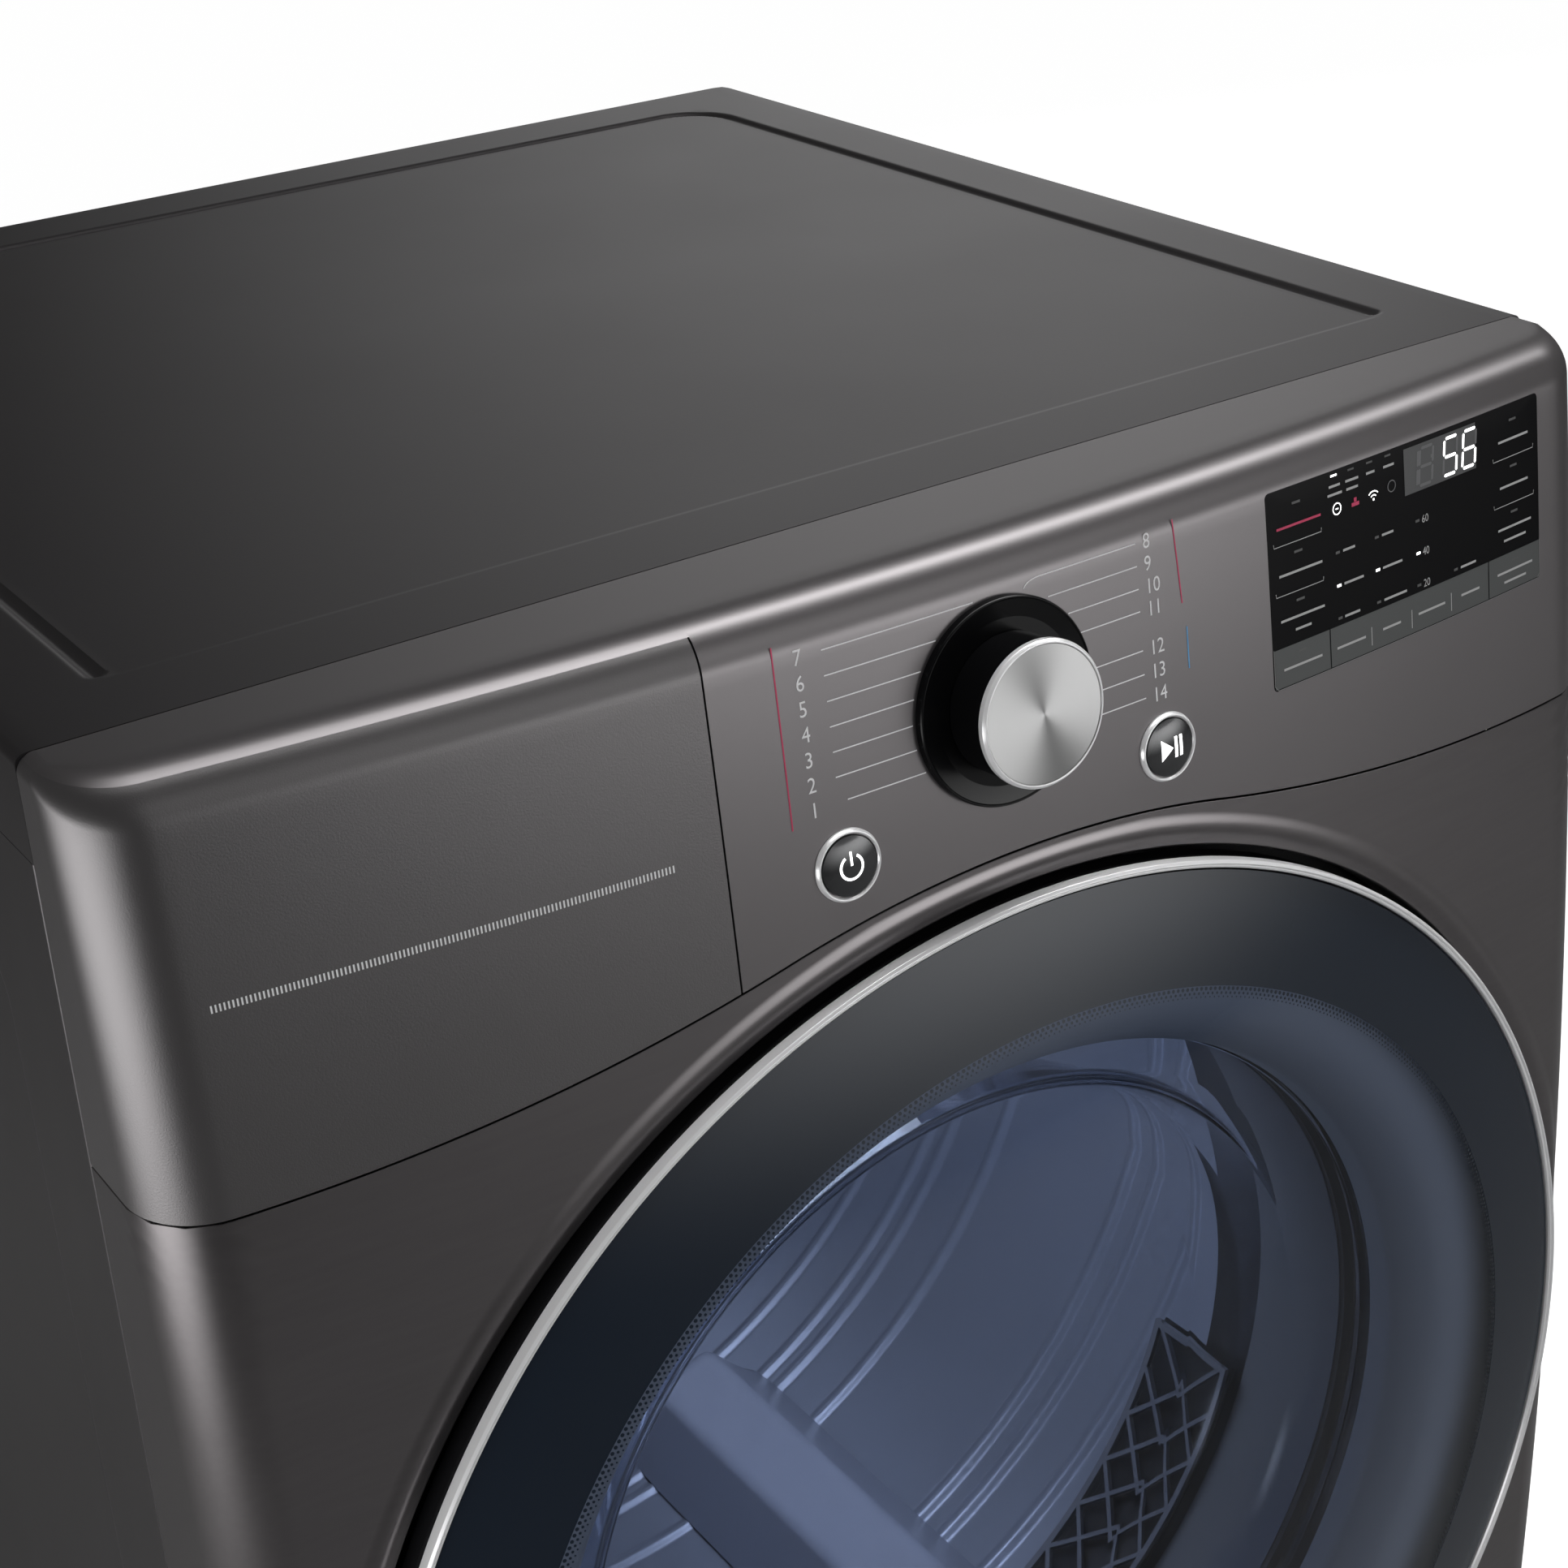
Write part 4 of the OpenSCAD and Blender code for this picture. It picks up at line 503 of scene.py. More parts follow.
# Console by (s, v): v 0..1 climbs the wall, 1..2 rounds the brow, 2..3 runs back over the top to the joint
def consoleGrid(s, v):
    S, V = np.meshgrid(s, v)
    x, _, turn, side = plan(S)
    face = np.cos(turn)
    lean = math.asin((case["top"] - console["brow"] - case["bowMid"]) / case["bowUp"]) * face
    r = console["sideBrow"] + (console["brow"] - console["sideBrow"]) * face ** 0.8
    high = case["top"] - r * (1 - np.sin(lean))
    low = archHeight(x)
    points = skin(S, low + (high - low) * np.clip(V, 0, 1))
    outward = np.stack([np.sin(turn), -face, 0 * x], -1)
    rise = np.array([0.0, 0.0, 1.0])
    aside = outward * np.cos(lean)[..., None] + rise * np.sin(lean)[..., None]
    centre = skin(S, high) - r[..., None] * aside
    a = lean + (math.pi / 2 - lean) * np.clip(V - 1, 0, 1)
    brow = centre + r[..., None] * (outward * np.cos(a)[..., None] + rise * np.sin(a)[..., None])
    points = np.where((V > 1)[..., None], brow, points)
    back = np.clip(V - 2, 0, 1)
    points[..., 1] += np.where(V > 2, back * (jointY - case["fit"] - points[..., 1]), 0)
    return points


topRows = np.linspace(0, 1, 7)
sideRuns = arcEnd + topRows[1:] * sideRun
cornerRuns = np.linspace(touchX, arcEnd, 15)
faceRuns = np.linspace(0, touchX, 70)[:-1]
rightRuns = np.concatenate([faceRuns, cornerRuns, sideRuns])
allRuns = np.concatenate([-rightRuns[:0:-1], rightRuns])
wallRows = np.linspace(0, 1, 26)
browRows = np.linspace(1, 2, 13)
seamLeft = console["seamAt"] - console["seamGap"] / 2
seamRight = console["seamAt"] + console["seamGap"] / 2


# Runs from low to high, both ends included
def between(runs, low, high):
    return np.concatenate([[low], runs[(runs > low + 0.4) & (runs < high - 0.4)], [high]])


# A patch of the console, ready for makePiece
def patch(s, v):
    return consoleGrid(s, v), gridFaces(len(v), len(s))


# Share of the brow that the left cover takes, up to its hidden upper edge; the brow starts at the wall's lean
coverTurn = math.asin((console["coverTop"] - case["top"] + console["brow"]) / console["brow"])
coverShare = 1 + (coverTurn - console["lean"]) / (math.pi / 2 - console["lean"])
rightPart = between(allRuns, seamRight, edgeS)
leftPart = between(allRuns, -edgeS, seamLeft)
midPart = np.array([seamLeft, seamRight])
frontOnly = allRuns[np.abs(allRuns) <= arcEnd + 1e-6]
upperBrow = np.linspace(coverShare, 2, 5)
insideCase = (0, 60, 500)  # a place inside the cabinet, which its skins face away from
shellPatches = [patch(rightPart, np.concatenate([wallRows, browRows[1:]])),
                patch(np.concatenate([leftPart, [seamRight]]), upperBrow),
                patch(np.sort(np.concatenate([frontOnly, midPart])), 2 + topRows)]
coverPatch = patch(leftPart, np.concatenate([wallRows, np.linspace(1, coverShare, 10)[1:]]))
makePiece("consoleShell", shellPatches, "cabinet", "console_finish", ["console_frame"], inside=insideCase,
          thickness=console["wall"])
makePiece("leftCover", [coverPatch], "cabinet", "cover_finish", ["left_cover_panel"], inside=insideCase,
          thickness=console["wall"])
print("console skinned")


# Opening of the front panel: radius, wider towards the hinge, the pillow round it and the roll into its collar
lip = {"near": 315.0, "hinge": 319.2, "hingeTurn": 34.0, "pillow": 13.0, "bulge": 0.9, "fall": 1.4,
       "roll": 1.6, "deep": -30.0}


# Front panel: rays from the door's centre, from the outer edge in to the roll and down the opening's collar
def frontPanel():
    z0 = case["doorHeight"]
    corners = [math.atan2(z - z0, s) for s in (-edgeS, edgeS)
               for z in (case["panelLow"], console["low"] - 1.2)]
    theta = np.unique(np.concatenate([np.linspace(-math.pi, math.pi, 340, endpoint=False), corners]))
    c, n = np.cos(theta), np.sin(theta)
    # halves the span along each ray until it ends at the panel's edge
    near, far = np.full_like(theta, 300.0), np.full_like(theta, 900.0)
    for _ in range(45):
        mid = (near + far) / 2
        s, z = mid * c, z0 + mid * n
        held = (np.abs(s) < edgeS) & (z > case["panelLow"]) & (
            z < archHeight(plan(np.clip(s, -edgeS, edgeS))[0]) - case["fit"] * 4)
        near, far = np.where(held, mid, near), np.where(held, far, mid)
    sOut, zOut = near * c, z0 + near * n
    atHinge = np.clip(2 - np.abs(np.degrees(theta)) / lip["hingeTurn"] * 2, 0, 1)
    mouth = lip["near"] + (lip["hinge"] - lip["near"]) * atHinge
    width = np.minimum(lip["pillow"], near - mouth - lip["roll"] - 1.5)
    brim = mouth + lip["roll"] + width
    sIn, zIn = runAt(brim * c), z0 + brim * n
    t = 1 - (1 - np.linspace(0, 1, 64)[:, None]) ** 1.35
    s, z = sIn + (sOut - sIn) * t, zIn + (zOut - zIn) * t
    faceRows, faceNormals = skin(s, z)[::-1], skinNormal(s, z)[::-1]
    # the pillow swells and turns down to the opening, the roll is a quarter round, the collar runs straight in
    p = np.linspace(0, 1, 15)[1:, None]
    reach = brim - p * width
    swell = lip["bulge"] * np.sin(math.pi * p) ** 2 * width / lip["pillow"] - lip["fall"] * p ** 2.6
    s, z = runAt(reach * c), z0 + reach * n
    pillow = skin(s, z) + skinNormal(s, z) * swell[..., None]
    origin, axes = onDoor
    last = (pillow[-1] - origin) @ axes.T
    q = np.linspace(0, math.pi / 2, 8)[1:, None]
    along = np.hypot(last[:, 0], last[:, 1]) - lip["roll"] * np.sin(q)
    roll = carry(np.stack([along * c, along * n, last[:, 2] - lip["roll"] * (1 - np.cos(q))], -1), onDoor)
    depth = np.linspace(0, 1, 5)[1:, None]
    foot = last[:, 2] - lip["roll"]
    flat = along[-1] + 0 * depth
    collar = carry(np.stack([flat * c, flat * n, foot + depth * (lip["deep"] - foot)], -1), onDoor)
    rows = np.concatenate([faceRows, pillow, roll, collar])
    return rows, gridFaces(len(rows), len(theta), loop=True), faceNormals


panelRows, panelFaces, panelNormals = frontPanel()
frontSkin = makePiece("frontPanelSkin", [(panelRows, panelFaces)], "cabinet", "front_finish", ["front_panel"],
                      inside=insideCase, thickness=sheet)
layNormals(frontSkin, panelRows[:len(panelNormals)], panelNormals)
print("front panel skinned")

# Top plate: rounded edge, corners, the groove pressed round three sides and the field inside it
topPlate = {"edge": 4.0, "corner": 8.0, "inset": 12.0, "skirtLow": 950.7, "grooveX": 298.0, "grooveHalf": 4.2,
            "grooveDeep": 2.2, "grooveFront": 45.0, "grooveCorner": 30.0, "fieldFront": 38.8,
            "fieldDrop": 0.35, "fieldStep": 1.2, "fieldEase": 6.0}


# Top plate height: flat, less the groove's rounded trough, less the shallow drop of the field inside it
def topHeight(x, y):
    g = topPlate
    back = backY - (case["halfWidth"] - g["grooveX"])
    ax = np.abs(x)
    px, py = ax - (g["grooveX"] - g["grooveCorner"]), y - (back - g["grooveCorner"])
    away = np.where((px > 0) & (py > 0), np.abs(np.hypot(px, py) - g["grooveCorner"]),
                    np.where(px > py, np.abs(ax - g["grooveX"]), np.abs(y - back)))
    ahead = np.clip(jointY + g["grooveFront"] - y, 0, None)
    away = np.hypot(away, ahead)
    trough = np.clip(1 - (away / g["grooveHalf"]) ** 2, 0, 1) ** 1.5
    inField = (np.clip((y - jointY - g["fieldFront"]) / g["fieldStep"], 0, 1)
               * np.clip((g["grooveX"] - ax) / g["fieldEase"], 0, 1)
               * np.clip((back - y) / g["fieldEase"], 0, 1))
    return case["top"] - g["grooveDeep"] * trough - g["fieldDrop"] * inField


# Spacing that is fine inside the given spans and coarse between
def lines(low, high, spans, fine, coarse):
    marks = [low, high]
    for a, b in spans:
        marks += list(np.linspace(a, b, int((b - a) / fine) + 1))
    marks = np.unique(np.round(marks, 4))
    gaps = np.diff(marks)
    return np.unique(np.concatenate([np.linspace(a, a + g, max(2, int(math.ceil(g / coarse)) + 1))
                                     for a, g in zip(marks[:-1], gaps)]))


# Top plate: the pressed field, and a rim whose edge profile runs along the left side, the back and the right
def topPlatePatches():
    g = topPlate
    wide, back = case["halfWidth"], backY
    grooveBack = back - (wide - g["grooveX"])
    front = jointY + case["fit"]
    xs = lines(0, wide - g["inset"], [(g["grooveX"] - 36, g["grooveX"] + 7)], 1.1, 24)
    xs = np.concatenate([-xs[:0:-1], xs])
    fine = [(front + 34, front + 52), (grooveBack - 36, grooveBack + 7)]
    ys = lines(front, back - g["inset"], fine, 1.1, 24)
    X, Y = np.meshgrid(xs, ys)
    field = np.stack([X, Y, topHeight(X, Y)], -1), gridFaces(len(ys), len(xs))
    turns = np.linspace(0, math.pi / 2, 9)[:, None]
    ends = (wide - g["inset"], back - g["inset"])
    sides = np.stack([np.full_like(ys, ends[0]), ys], -1)
    arc = np.repeat([ends], len(turns), 0)
    rear = np.stack([xs[::-1], np.full_like(xs, ends[1])], -1)
    path = np.concatenate([sides[:-1], arc, rear[1:-1], arc * [-1, 1], (sides * [-1, 1])[::-1][1:]])
    bent = np.hstack([np.cos(turns), np.sin(turns)])
    right, rearward = np.repeat([[1.0, 0.0]], len(sides) - 1, 0), np.repeat([[0.0, 1.0]], len(rear) - 2, 0)
    normal = np.concatenate([right, bent, rearward, (bent * [-1, 1])[::-1], -right])
    bend = np.linspace(0, math.pi / 2, 7)
    reach = np.concatenate([[0], g["inset"] - g["edge"] + g["edge"] * np.sin(bend), [g["inset"]]])
    rounded = case["top"] - g["edge"] + g["edge"] * np.cos(bend)
    level = np.concatenate([[case["top"]], rounded, [g["skirtLow"]]])
    # corners stay square out to the inset less the corner radius, and grow round from there to the edge
    corner = np.abs(normal[:, 0] * normal[:, 1]) > 1e-9
    squareness = (np.max(np.abs(normal), axis=1) ** -1 - 1) * corner
    share = np.clip((g["inset"] - g["corner"]) / np.maximum(reach[:, None], 1e-6), 0, 1)
    flat = path + (reach[:, None] * (1 + squareness * share))[..., None] * normal
    rim = np.concatenate([flat, np.repeat(level[:, None, None], len(path), 1)], -1)
    return [field, (rim, gridFaces(len(reach), len(path)))]


makePiece("topPlateSkin", topPlatePatches(), "cabinet", "cabinet_paint", ["top_plate"], inside=(0, 60, 900),
          thickness=sheet)

# Field pressed into each side: its margins, depth, soft wall and corners, and the fold at the sheet's front
sideField = {"in": 60.0, "low": 90.0, "high": 60.0, "deep": 2.0, "soft": 7.0, "corner": 24.0, "fold": 1.7}


# Side sheet: flat, with a pressed field whose walls ease in by a smooth step of the rounded-box distance,
# and a quarter-round fold at its front edge
def sidePanel(sign):
    g = sideField
    y0, y1 = jointY + case["fit"], backY - 1.5
    z0, z1 = case["panelLow"], case["sideHigh"]
    fy0, fy1, fz0, fz1 = y0 + g["in"], y1 - g["in"], z0 + g["low"], z1 - g["high"]
    ys = lines(y0, y1, [(fy0 - 2, fy0 + 28), (fy1 - 28, fy1 + 2)], 1.6, 30)
    ys = np.unique(np.concatenate([y0 + g["fold"] * (1 - np.cos(np.linspace(0, math.pi / 2, 9))), ys[1:]]))
    zs = lines(z0, z1, [(fz0 - 2, fz0 + 28), (fz1 - 28, fz1 + 2)], 1.6, 30)
    Y, Z = np.meshgrid(ys, zs)
    qy = np.abs(Y - (fy0 + fy1) / 2) - (fy1 - fy0) / 2 + g["corner"]
    qz = np.abs(Z - (fz0 + fz1) / 2) - (fz1 - fz0) / 2 + g["corner"]
    beyond = np.hypot(np.clip(qy, 0, None), np.clip(qz, 0, None))
    away = beyond + np.minimum(np.maximum(qy, qz), 0) - g["corner"]
    ease = np.clip(-away / g["soft"], 0, 1)
    depth = g["deep"] * ease * ease * (3 - 2 * ease)
    turnIn = np.clip(g["fold"] - (Y - y0), 0, g["fold"])
    depth = depth + g["fold"] - np.sqrt(g["fold"] ** 2 - turnIn ** 2)
    X = sign * (case["halfWidth"] - depth)
    return np.stack([X, Y, Z], -1), gridFaces(len(zs), len(ys))


for sideName, sign in (("left_side_panel", -1), ("right_side_panel", 1)):
    makePiece(sideName.split("_")[0] + "SideSkin", [sidePanel(sign)], "cabinet", "cabinet_paint", [sideName],
              inside=insideCase, thickness=sheet)
print("cabinet skinned")


# Knob: height of its middle, radii of bezel and knob, and how far its face stands out
knobSpec = {"z": 931.0, "bezel": 40.0, "radius": 28.0, "proud": 24.5}
knobPlace = onFace(0, knobSpec["z"])
r, p, b = knobSpec["radius"], knobSpec["proud"], knobSpec["bezel"]
faceProfile = [(0, p - 0.5), (r * 0.5, p - 0.5), (r - 1.9, p - 0.5), (r - 1.6, p - 0.2), (r - 1.6, p - 1.5),
               (0, p - 1.5)]
rimProfile = softened([(r - 1.65, p - 1.6), (r - 1.65, p - 0.15), (r - 1.3, p), (r - 1.0, p), (r, p - 1.1),
                       (r, p - 3.4), (r - 1.65, p - 3.4)], [0, 0.1, 0.1, 0.3, 0.4, 0.2, 0])
skirtProfile = softened([(r - 2, p - 1.8), (r - 2, p - 3.6), (r - 0.4, p - 3.6), (r - 0.8, p - 5),
                         (r - 1.2, 2.6), (0, 2.6), (0, p - 1.8)], [0, 0, 0.3, 0.5, 0.4, 0, 0])
bezelProfile = softened([(0, 2.3), (r + 4, 2.3), (b - 1.3, 3.0), (b - 0.6, 3.5), (b, 2.7), (b, -2), (0, -2)],
                        [0, 3, 0.4, 0.4, 0.5, 0, 0])
makePiece("knobFace", [turned(faceProfile, knobPlace)], "knob", "knob_metal", ["knob"], spun=knobPlace)
makePiece("knobRim", [turned(rimProfile, knobPlace)], "knob", "trim_chrome")
makePiece("knobSkirt", [turned(skirtProfile, knobPlace)], "knob", "bezel_black")
makePiece("knobBezelRing", [turned(bezelProfile, knobPlace)], "cabinet", "bezel_black", ["knob_bezel"])

# Buttons: height, radius, rise and fall of the dome, and the x of each
buttons = {"z": 889.5, "radius": 12.0, "dome": 3.0, "fall": 1.4, "power_button": -75.0, "start_button": 77.0}


# Height of a button's dome at distance r from its middle
def capAt(r):
    return buttons["dome"] - buttons["fall"] * (r / (buttons["radius"] - 0.5)) ** 2.2


ringPatches = []
r = buttons["radius"]
capR = np.linspace(0, 1, 14) * (r - 0.5)
capProfile = np.vstack([np.stack([capR, capAt(capR)], -1), [(r - 0.35, 1.2), (r - 0.35, -6), (0, -6)]])
ringProfile = softened([(r + 0.15, -5), (r + 0.15, 1.3), (r + 0.7, 2.0), (r + 1.3, 2.0), (r + 2.0, 0.7),
                        (r + 2.0, -5)], [0, 0.3, 0.4, 0.5, 0.4, 0])
for bodyName in ("power_button", "start_button"):
    place = onFace(buttons[bodyName], buttons["z"])
    makePiece(bodyName + "_cap", [turned(capProfile, place, 96)], bodyName, "button_dark", [bodyName])
    ringPatches.append(turned(ringProfile, place, 120))
makePiece("buttonRings", ringPatches, "cabinet", "trim_chrome", ["button_rings"])
print("controls made")


# Door: radii of trim, glass and printed border, and how far the glass stands out at its middle
doorSpec = {"ringIn": 308.5, "ringOut": 312.0, "crown": 38.1, "glass": 308.1, "glassThick": 4.0,
            "borderIn": 262.0}
crownR = (doorSpec["ringIn"] ** 2 + doorSpec["crown"] ** 2) / (2 * doorSpec["crown"])


# Height of the glass's outer face over the ring plane, at distance r from the middle
def domeAt(r):
    return doorSpec["crown"] - crownR + np.sqrt(crownR ** 2 - r ** 2)


ri, ro = doorSpec["ringIn"], doorSpec["ringOut"]
trimProfile = softened([(ri, -3.2), (ri, 1.0), (ri + 0.5, 1.9), (ri + 1.25, 2.1), (ri + 1.45, 1.8),
                        (ri + 1.7, 2.2), (ri + 2.4, 2.9), (ro, 1.6), (ro, -3.2)],
                       [0.2, 0.3, 0.2, 0.1, 0.1, 0.1, 0.6, 0.5, 0.3], 6)
footProfile = softened([(ri, -5.8), (ri, -3.2), (ro - 0.3, -3.2), (ro - 0.3, -5.8)], [0.2, 0.1, 0.1, 0.3], 4)
makePiece("doorTrimRing", [turned(trimProfile, onDoor, 420)], "door", "trim_chrome", ["door_trim_ring"])
makePiece("doorTrimSkirt", [turned(footProfile, onDoor, 240)], "door", "frame_black")

rows = np.concatenate([np.linspace(0, 300, 40), np.linspace(302, doorSpec["glass"] - 1.2, 5)])
rim = doorSpec["glass"]
outer = np.stack([rows, domeAt(rows)], -1)
inner = np.stack([rows[::-1], domeAt(rows[::-1]) - doorSpec["glassThick"]], -1)
edge = np.array([[rim - 0.35, domeAt(rim) + 0.05], [rim, domeAt(rim) - 0.7], [rim, domeAt(rim) - 3.2],
                 [rim - 0.35, domeAt(rim) - 3.9]])
makePiece("doorGlass", [turned(np.vstack([outer, edge, inner]), onDoor, 240, closed=False)],
          "door", "smoked_glass", ["door_glass"], sharp=50)

# Printed border on the glass, and the three rows of dots that fade it out
borderR = np.linspace(doorSpec["borderIn"], 307.5, 8)
border = np.stack([borderR, domeAt(borderR) + 0.12], -1)
borderRing = np.vstack([border, border[::-1] - [0, 0.3]])
makePiece("glassBorder", [turned(borderRing, onDoor, 300)], "door", "frame_black", look="borderInk")
dotRows, dotsRound = ((260.9, 0.85), (259.1, 0.62), (257.6, 0.4)), 640
dotPatches = []
for row, (radius, size) in enumerate(dotRows):
    a = (np.arange(dotsRound) + 0.5 * (row % 2)) * 2 * math.pi / dotsRound
    k = np.arange(6) * math.pi / 3
    x = radius * np.cos(a)[:, None] + size * np.cos(k)
    y = radius * np.sin(a)[:, None] + size * np.sin(k)
    dots = np.stack([x, y, domeAt(np.hypot(x, y)) + 0.1], -1)
    dotPatches.append((carry(dots, onDoor), np.arange(dotsRound * 6).reshape(-1, 6).tolist()))
makePiece("glassDots", dotPatches, "door", "frame_black", look="borderInk")

# Dished lining between the border and the bowl. Its emission is painted light, standing in for light that
# reaches it through the glass, and follows the distance from the middle
funnel = softened([(292, -4.6), (268, -4.6), (238, -8.2), (226, -22), (223.6, -32.6), (223.0, -32.6),
                   (225.2, -22), (237.6, -8.6), (268, -5.2), (292, -5.2)],
                  [0, 20, 12, 8, 0.2, 0.2, 8, 12, 20, 0], 6)
# the painted light runs from one radius, in metres, over the next width, with its brightest stop at mid
liningPaintedLight = {"from": 0.222, "over": 0.050, "mid": 0.62, "inner": (0.34, 0.40, 0.52, 1),
              "middle": (0.85, 0.98, 1.25, 1), "outer": (0.08, 0.10, 0.12, 1)}
paintedLightLiningFinish = finish("windowLining", {"colour": (0.05, 0.055, 0.065), "rough": 0.45, "grain": 700,
                                       "bump": 0.05, "glow": 0.12})
tree = paintedLightLiningFinish.node_tree
spin, split, ramp = newNodes(tree, "UVMap", "SeparateXYZ", "ValToRGB")
spin.uv_map = "spin"
tree.links.new(spin.outputs[0], split.inputs[0])
past = arithmetic(tree, "SUBTRACT", split.outputs["Y"], liningPaintedLight["from"])
tree.links.new(arithmetic(tree, "DIVIDE", past, liningPaintedLight["over"]), ramp.inputs[0])
stops = ramp.color_ramp.elements
ramp.color_ramp.interpolation = "EASE"
stops[0].color, stops[1].color = liningPaintedLight["inner"], liningPaintedLight["outer"]
stops.new(liningPaintedLight["mid"]).color = liningPaintedLight["middle"]
# painted light: the ramp's colour is the lining's emission, brightest in a ring part way out, though the lining
# is no lamp
tree.links.new(ramp.outputs[0], tree.nodes["Principled BSDF"].inputs["Emission Color"])
finishes["windowLining"] = paintedLightLiningFinish
makePiece("windowLining", [turned(funnel, onDoor, 220)], "door", "frame_black", sharp=50, spun=onDoor,
          look="windowLining")
print("door glazed")

# Bowl behind the glass: one wall of even thickness, round at the foot, its neck flared out to the frame
bowl = {"base": 185.0, "deep": 98.0, "wall": 4.0, "round": 22.0, "neck": 197.0, "neckAt": -46.0,
        "flare": 222.4, "flareAt": -36.0}


# Outside from the middle out to the flare, then back along the inside
def bowlProfile():
    g = bowl
    t, brim = g["wall"], g["flareAt"]
    outside = [(0, -g["deep"]), (g["base"], -g["deep"]), (g["neck"], g["neckAt"]), (g["flare"], brim - t)]
    inside = [(g["flare"], brim), (g["neck"] - 3.34, g["neckAt"] + 3.32), (g["base"] - t, t - g["deep"]),
              (0, t - g["deep"])]
    return softened(outside + inside, [0, g["round"], 12, 0.8, 0.8, 16, g["round"] - t, 0], 12)


makePiece("doorBowl", [turned(bowlProfile(), onDoor, 200)], "door", "bowl_glass", ["door_bowl"], sharp=50)

# Pan that closes the door's back: rings cut short at the hinge and behind the finger grip
pan = {"low": -39.3, "high": -36.4, "foot": 223.4, "inner": 238.5, "grip": 289.5, "outer": 301.0,
       "hingeTurn": 11.4, "gripFrom": 130.0, "gripTo": 230.0}
low, high, h = pan["low"], pan["high"], pan["hingeTurn"]
footProfile = softened([(pan["foot"], low - 5), (229.5, low - 5), (229.5, low), (pan["inner"], low),
                        (pan["inner"], high), (pan["foot"], high)], [0.8, 1.0, 1.4, 0, 0, 0.3])
panPatches = [turned(footProfile, onDoor, 220)]
for r0, r1, a0, a1 in ((pan["inner"], pan["grip"], h, 360 - h), (pan["grip"], pan["outer"], h, pan["gripFrom"]),
                       (pan["grip"], pan["outer"], pan["gripTo"], 360 - h)):
    ringSection = [(r0, low), (r1 - 0.6, low), (r1, low + 0.6), (r1, high), (r0, high)]
    panPatches.append(turned(ringSection, onDoor, 180, angle0=math.radians(a0), angle1=math.radians(a1)))
makePiece("doorPan", panPatches, "door", "frame_black", ["door_inner_frame"])

# Drum: axis, shell and necks, beads and baffles; beads and the baffles' end are shares of its length
drum = {"z": 560.0, "radius": 320.0, "wall": 1.2, "front": -205.0, "length": 523.0, "neck": 300.0,
        "beadHigh": 2.4, "beadWide": 9.0, "beads": (0.09, 0.175, 0.245, 0.285, 0.485, 0.56, 0.59, 0.66),
        "baffles": 3, "baffleTurn": -72.0, "baffleFrom": 30.0, "baffleShare": 0.62, "baffleEase": 34.0,
        "baffleHigh": 0.985, "hem": 11.0, "fold": 1.3}
barrel = (np.array([0.0, 0.0, drum["z"]]), np.array([[1.0, 0, 0], [0, 0, 1.0], [0, 1.0, 0]]))


# Drum wall: radius less a raised-cosine bead at each bead place, doubled back for its thickness, with a neck
# folded in at each end
def drumProfile():
    g = drum
    y0, y1, neck, wall = g["front"], g["front"] + g["length"], g["neck"], g["wall"]
    beads = [y0 + f * g["length"] + g["beadWide"] / 2 for f in g["beads"]]
    y = np.linspace(y0 + 0.6, y1 - 0.6, 40)
    y = np.unique(np.concatenate([y] + [at + np.linspace(-7, 7, 15) for at in beads]))
    dip = sum(g["beadHigh"] * 0.5 * (1 + np.cos(math.pi * np.clip((y - at) / 6.5, -1, 1))) for at in beads)
    inner = np.stack([g["radius"] - wall - dip, y], -1)
    outer = np.stack([g["radius"] - dip, y], -1)[::-1]
    hem, fold = g["hem"], g["fold"]
    near = [(neck + wall, y0 + hem), (neck + wall, y0 + fold)]
    far = [(neck + wall, y1 - fold), (neck + wall, y1 - hem), (neck, y1 - hem), (neck, y1)]
    return np.vstack([near, inner, far, outer, [(neck, y0), (neck, y0 + hem)]])


makePiece("drumWall", [turned(drumProfile(), barrel, 220)], "drum", "drum_enamel", ["drum_shell"])


# Baffle: a rounded section seated on the wall, whose height and a tenth of its width ease in at both ends
def baffle(turn):
    g = drum
    y0, y1 = g["front"] + g["baffleFrom"], g["front"] + g["baffleShare"] * g["length"]
    seatR = g["radius"] - g["wall"] - g["beadHigh"] - 0.3
    section = softened([(-48, 0), (-29, 44), (-20, 65.4), (20, 65.4), (29, 44), (48, 0)],
                       [0, 18, 9, 9, 18, 0], 9)
    t = np.linspace(0, 1, 46)[:, None]
    full = np.clip(np.minimum(t, 1 - t) * (y1 - y0) / g["baffleEase"], 0, 1)
    rise = np.sqrt(np.clip(1 - (1 - full) ** 2, 0, 1))
    across = section[:, 0] * (0.9 + 0.1 * rise)
    base = np.sqrt(seatR ** 2 - across ** 2)
    height = base - section[:, 1] * rise * g["baffleHigh"]
    c, s = math.cos(turn), math.sin(turn)
    x, z = across * c - height * s, across * s + height * c
    y = y0 + (y1 - y0) * t + 0 * x
    return np.stack([x, y, z + g["z"]], -1), gridFaces(len(t), len(section))


baffleTurns = np.radians(drum["baffleTurn"] - 90 + np.arange(drum["baffles"]) * 360 / drum["baffles"])
makePiece("drumBaffles", [baffle(turn) for turn in baffleTurns], "drum", "baffle_grey", ["drum_baffles"])


# Lattice over the lint duct: crossed ribs between two rails on an arc, with a dark tray behind
lattice = {"radius": 212.0, "thick": 3.0, "from": -162.0, "to": -18.0, "near": -105.5, "far": -162.0,
           "rail": 3.4, "rib": 2.4, "cells": 20, "tray": 219.4, "liner": 221.7, "linerNear": -52.4,
           "linerFar": -103.0}


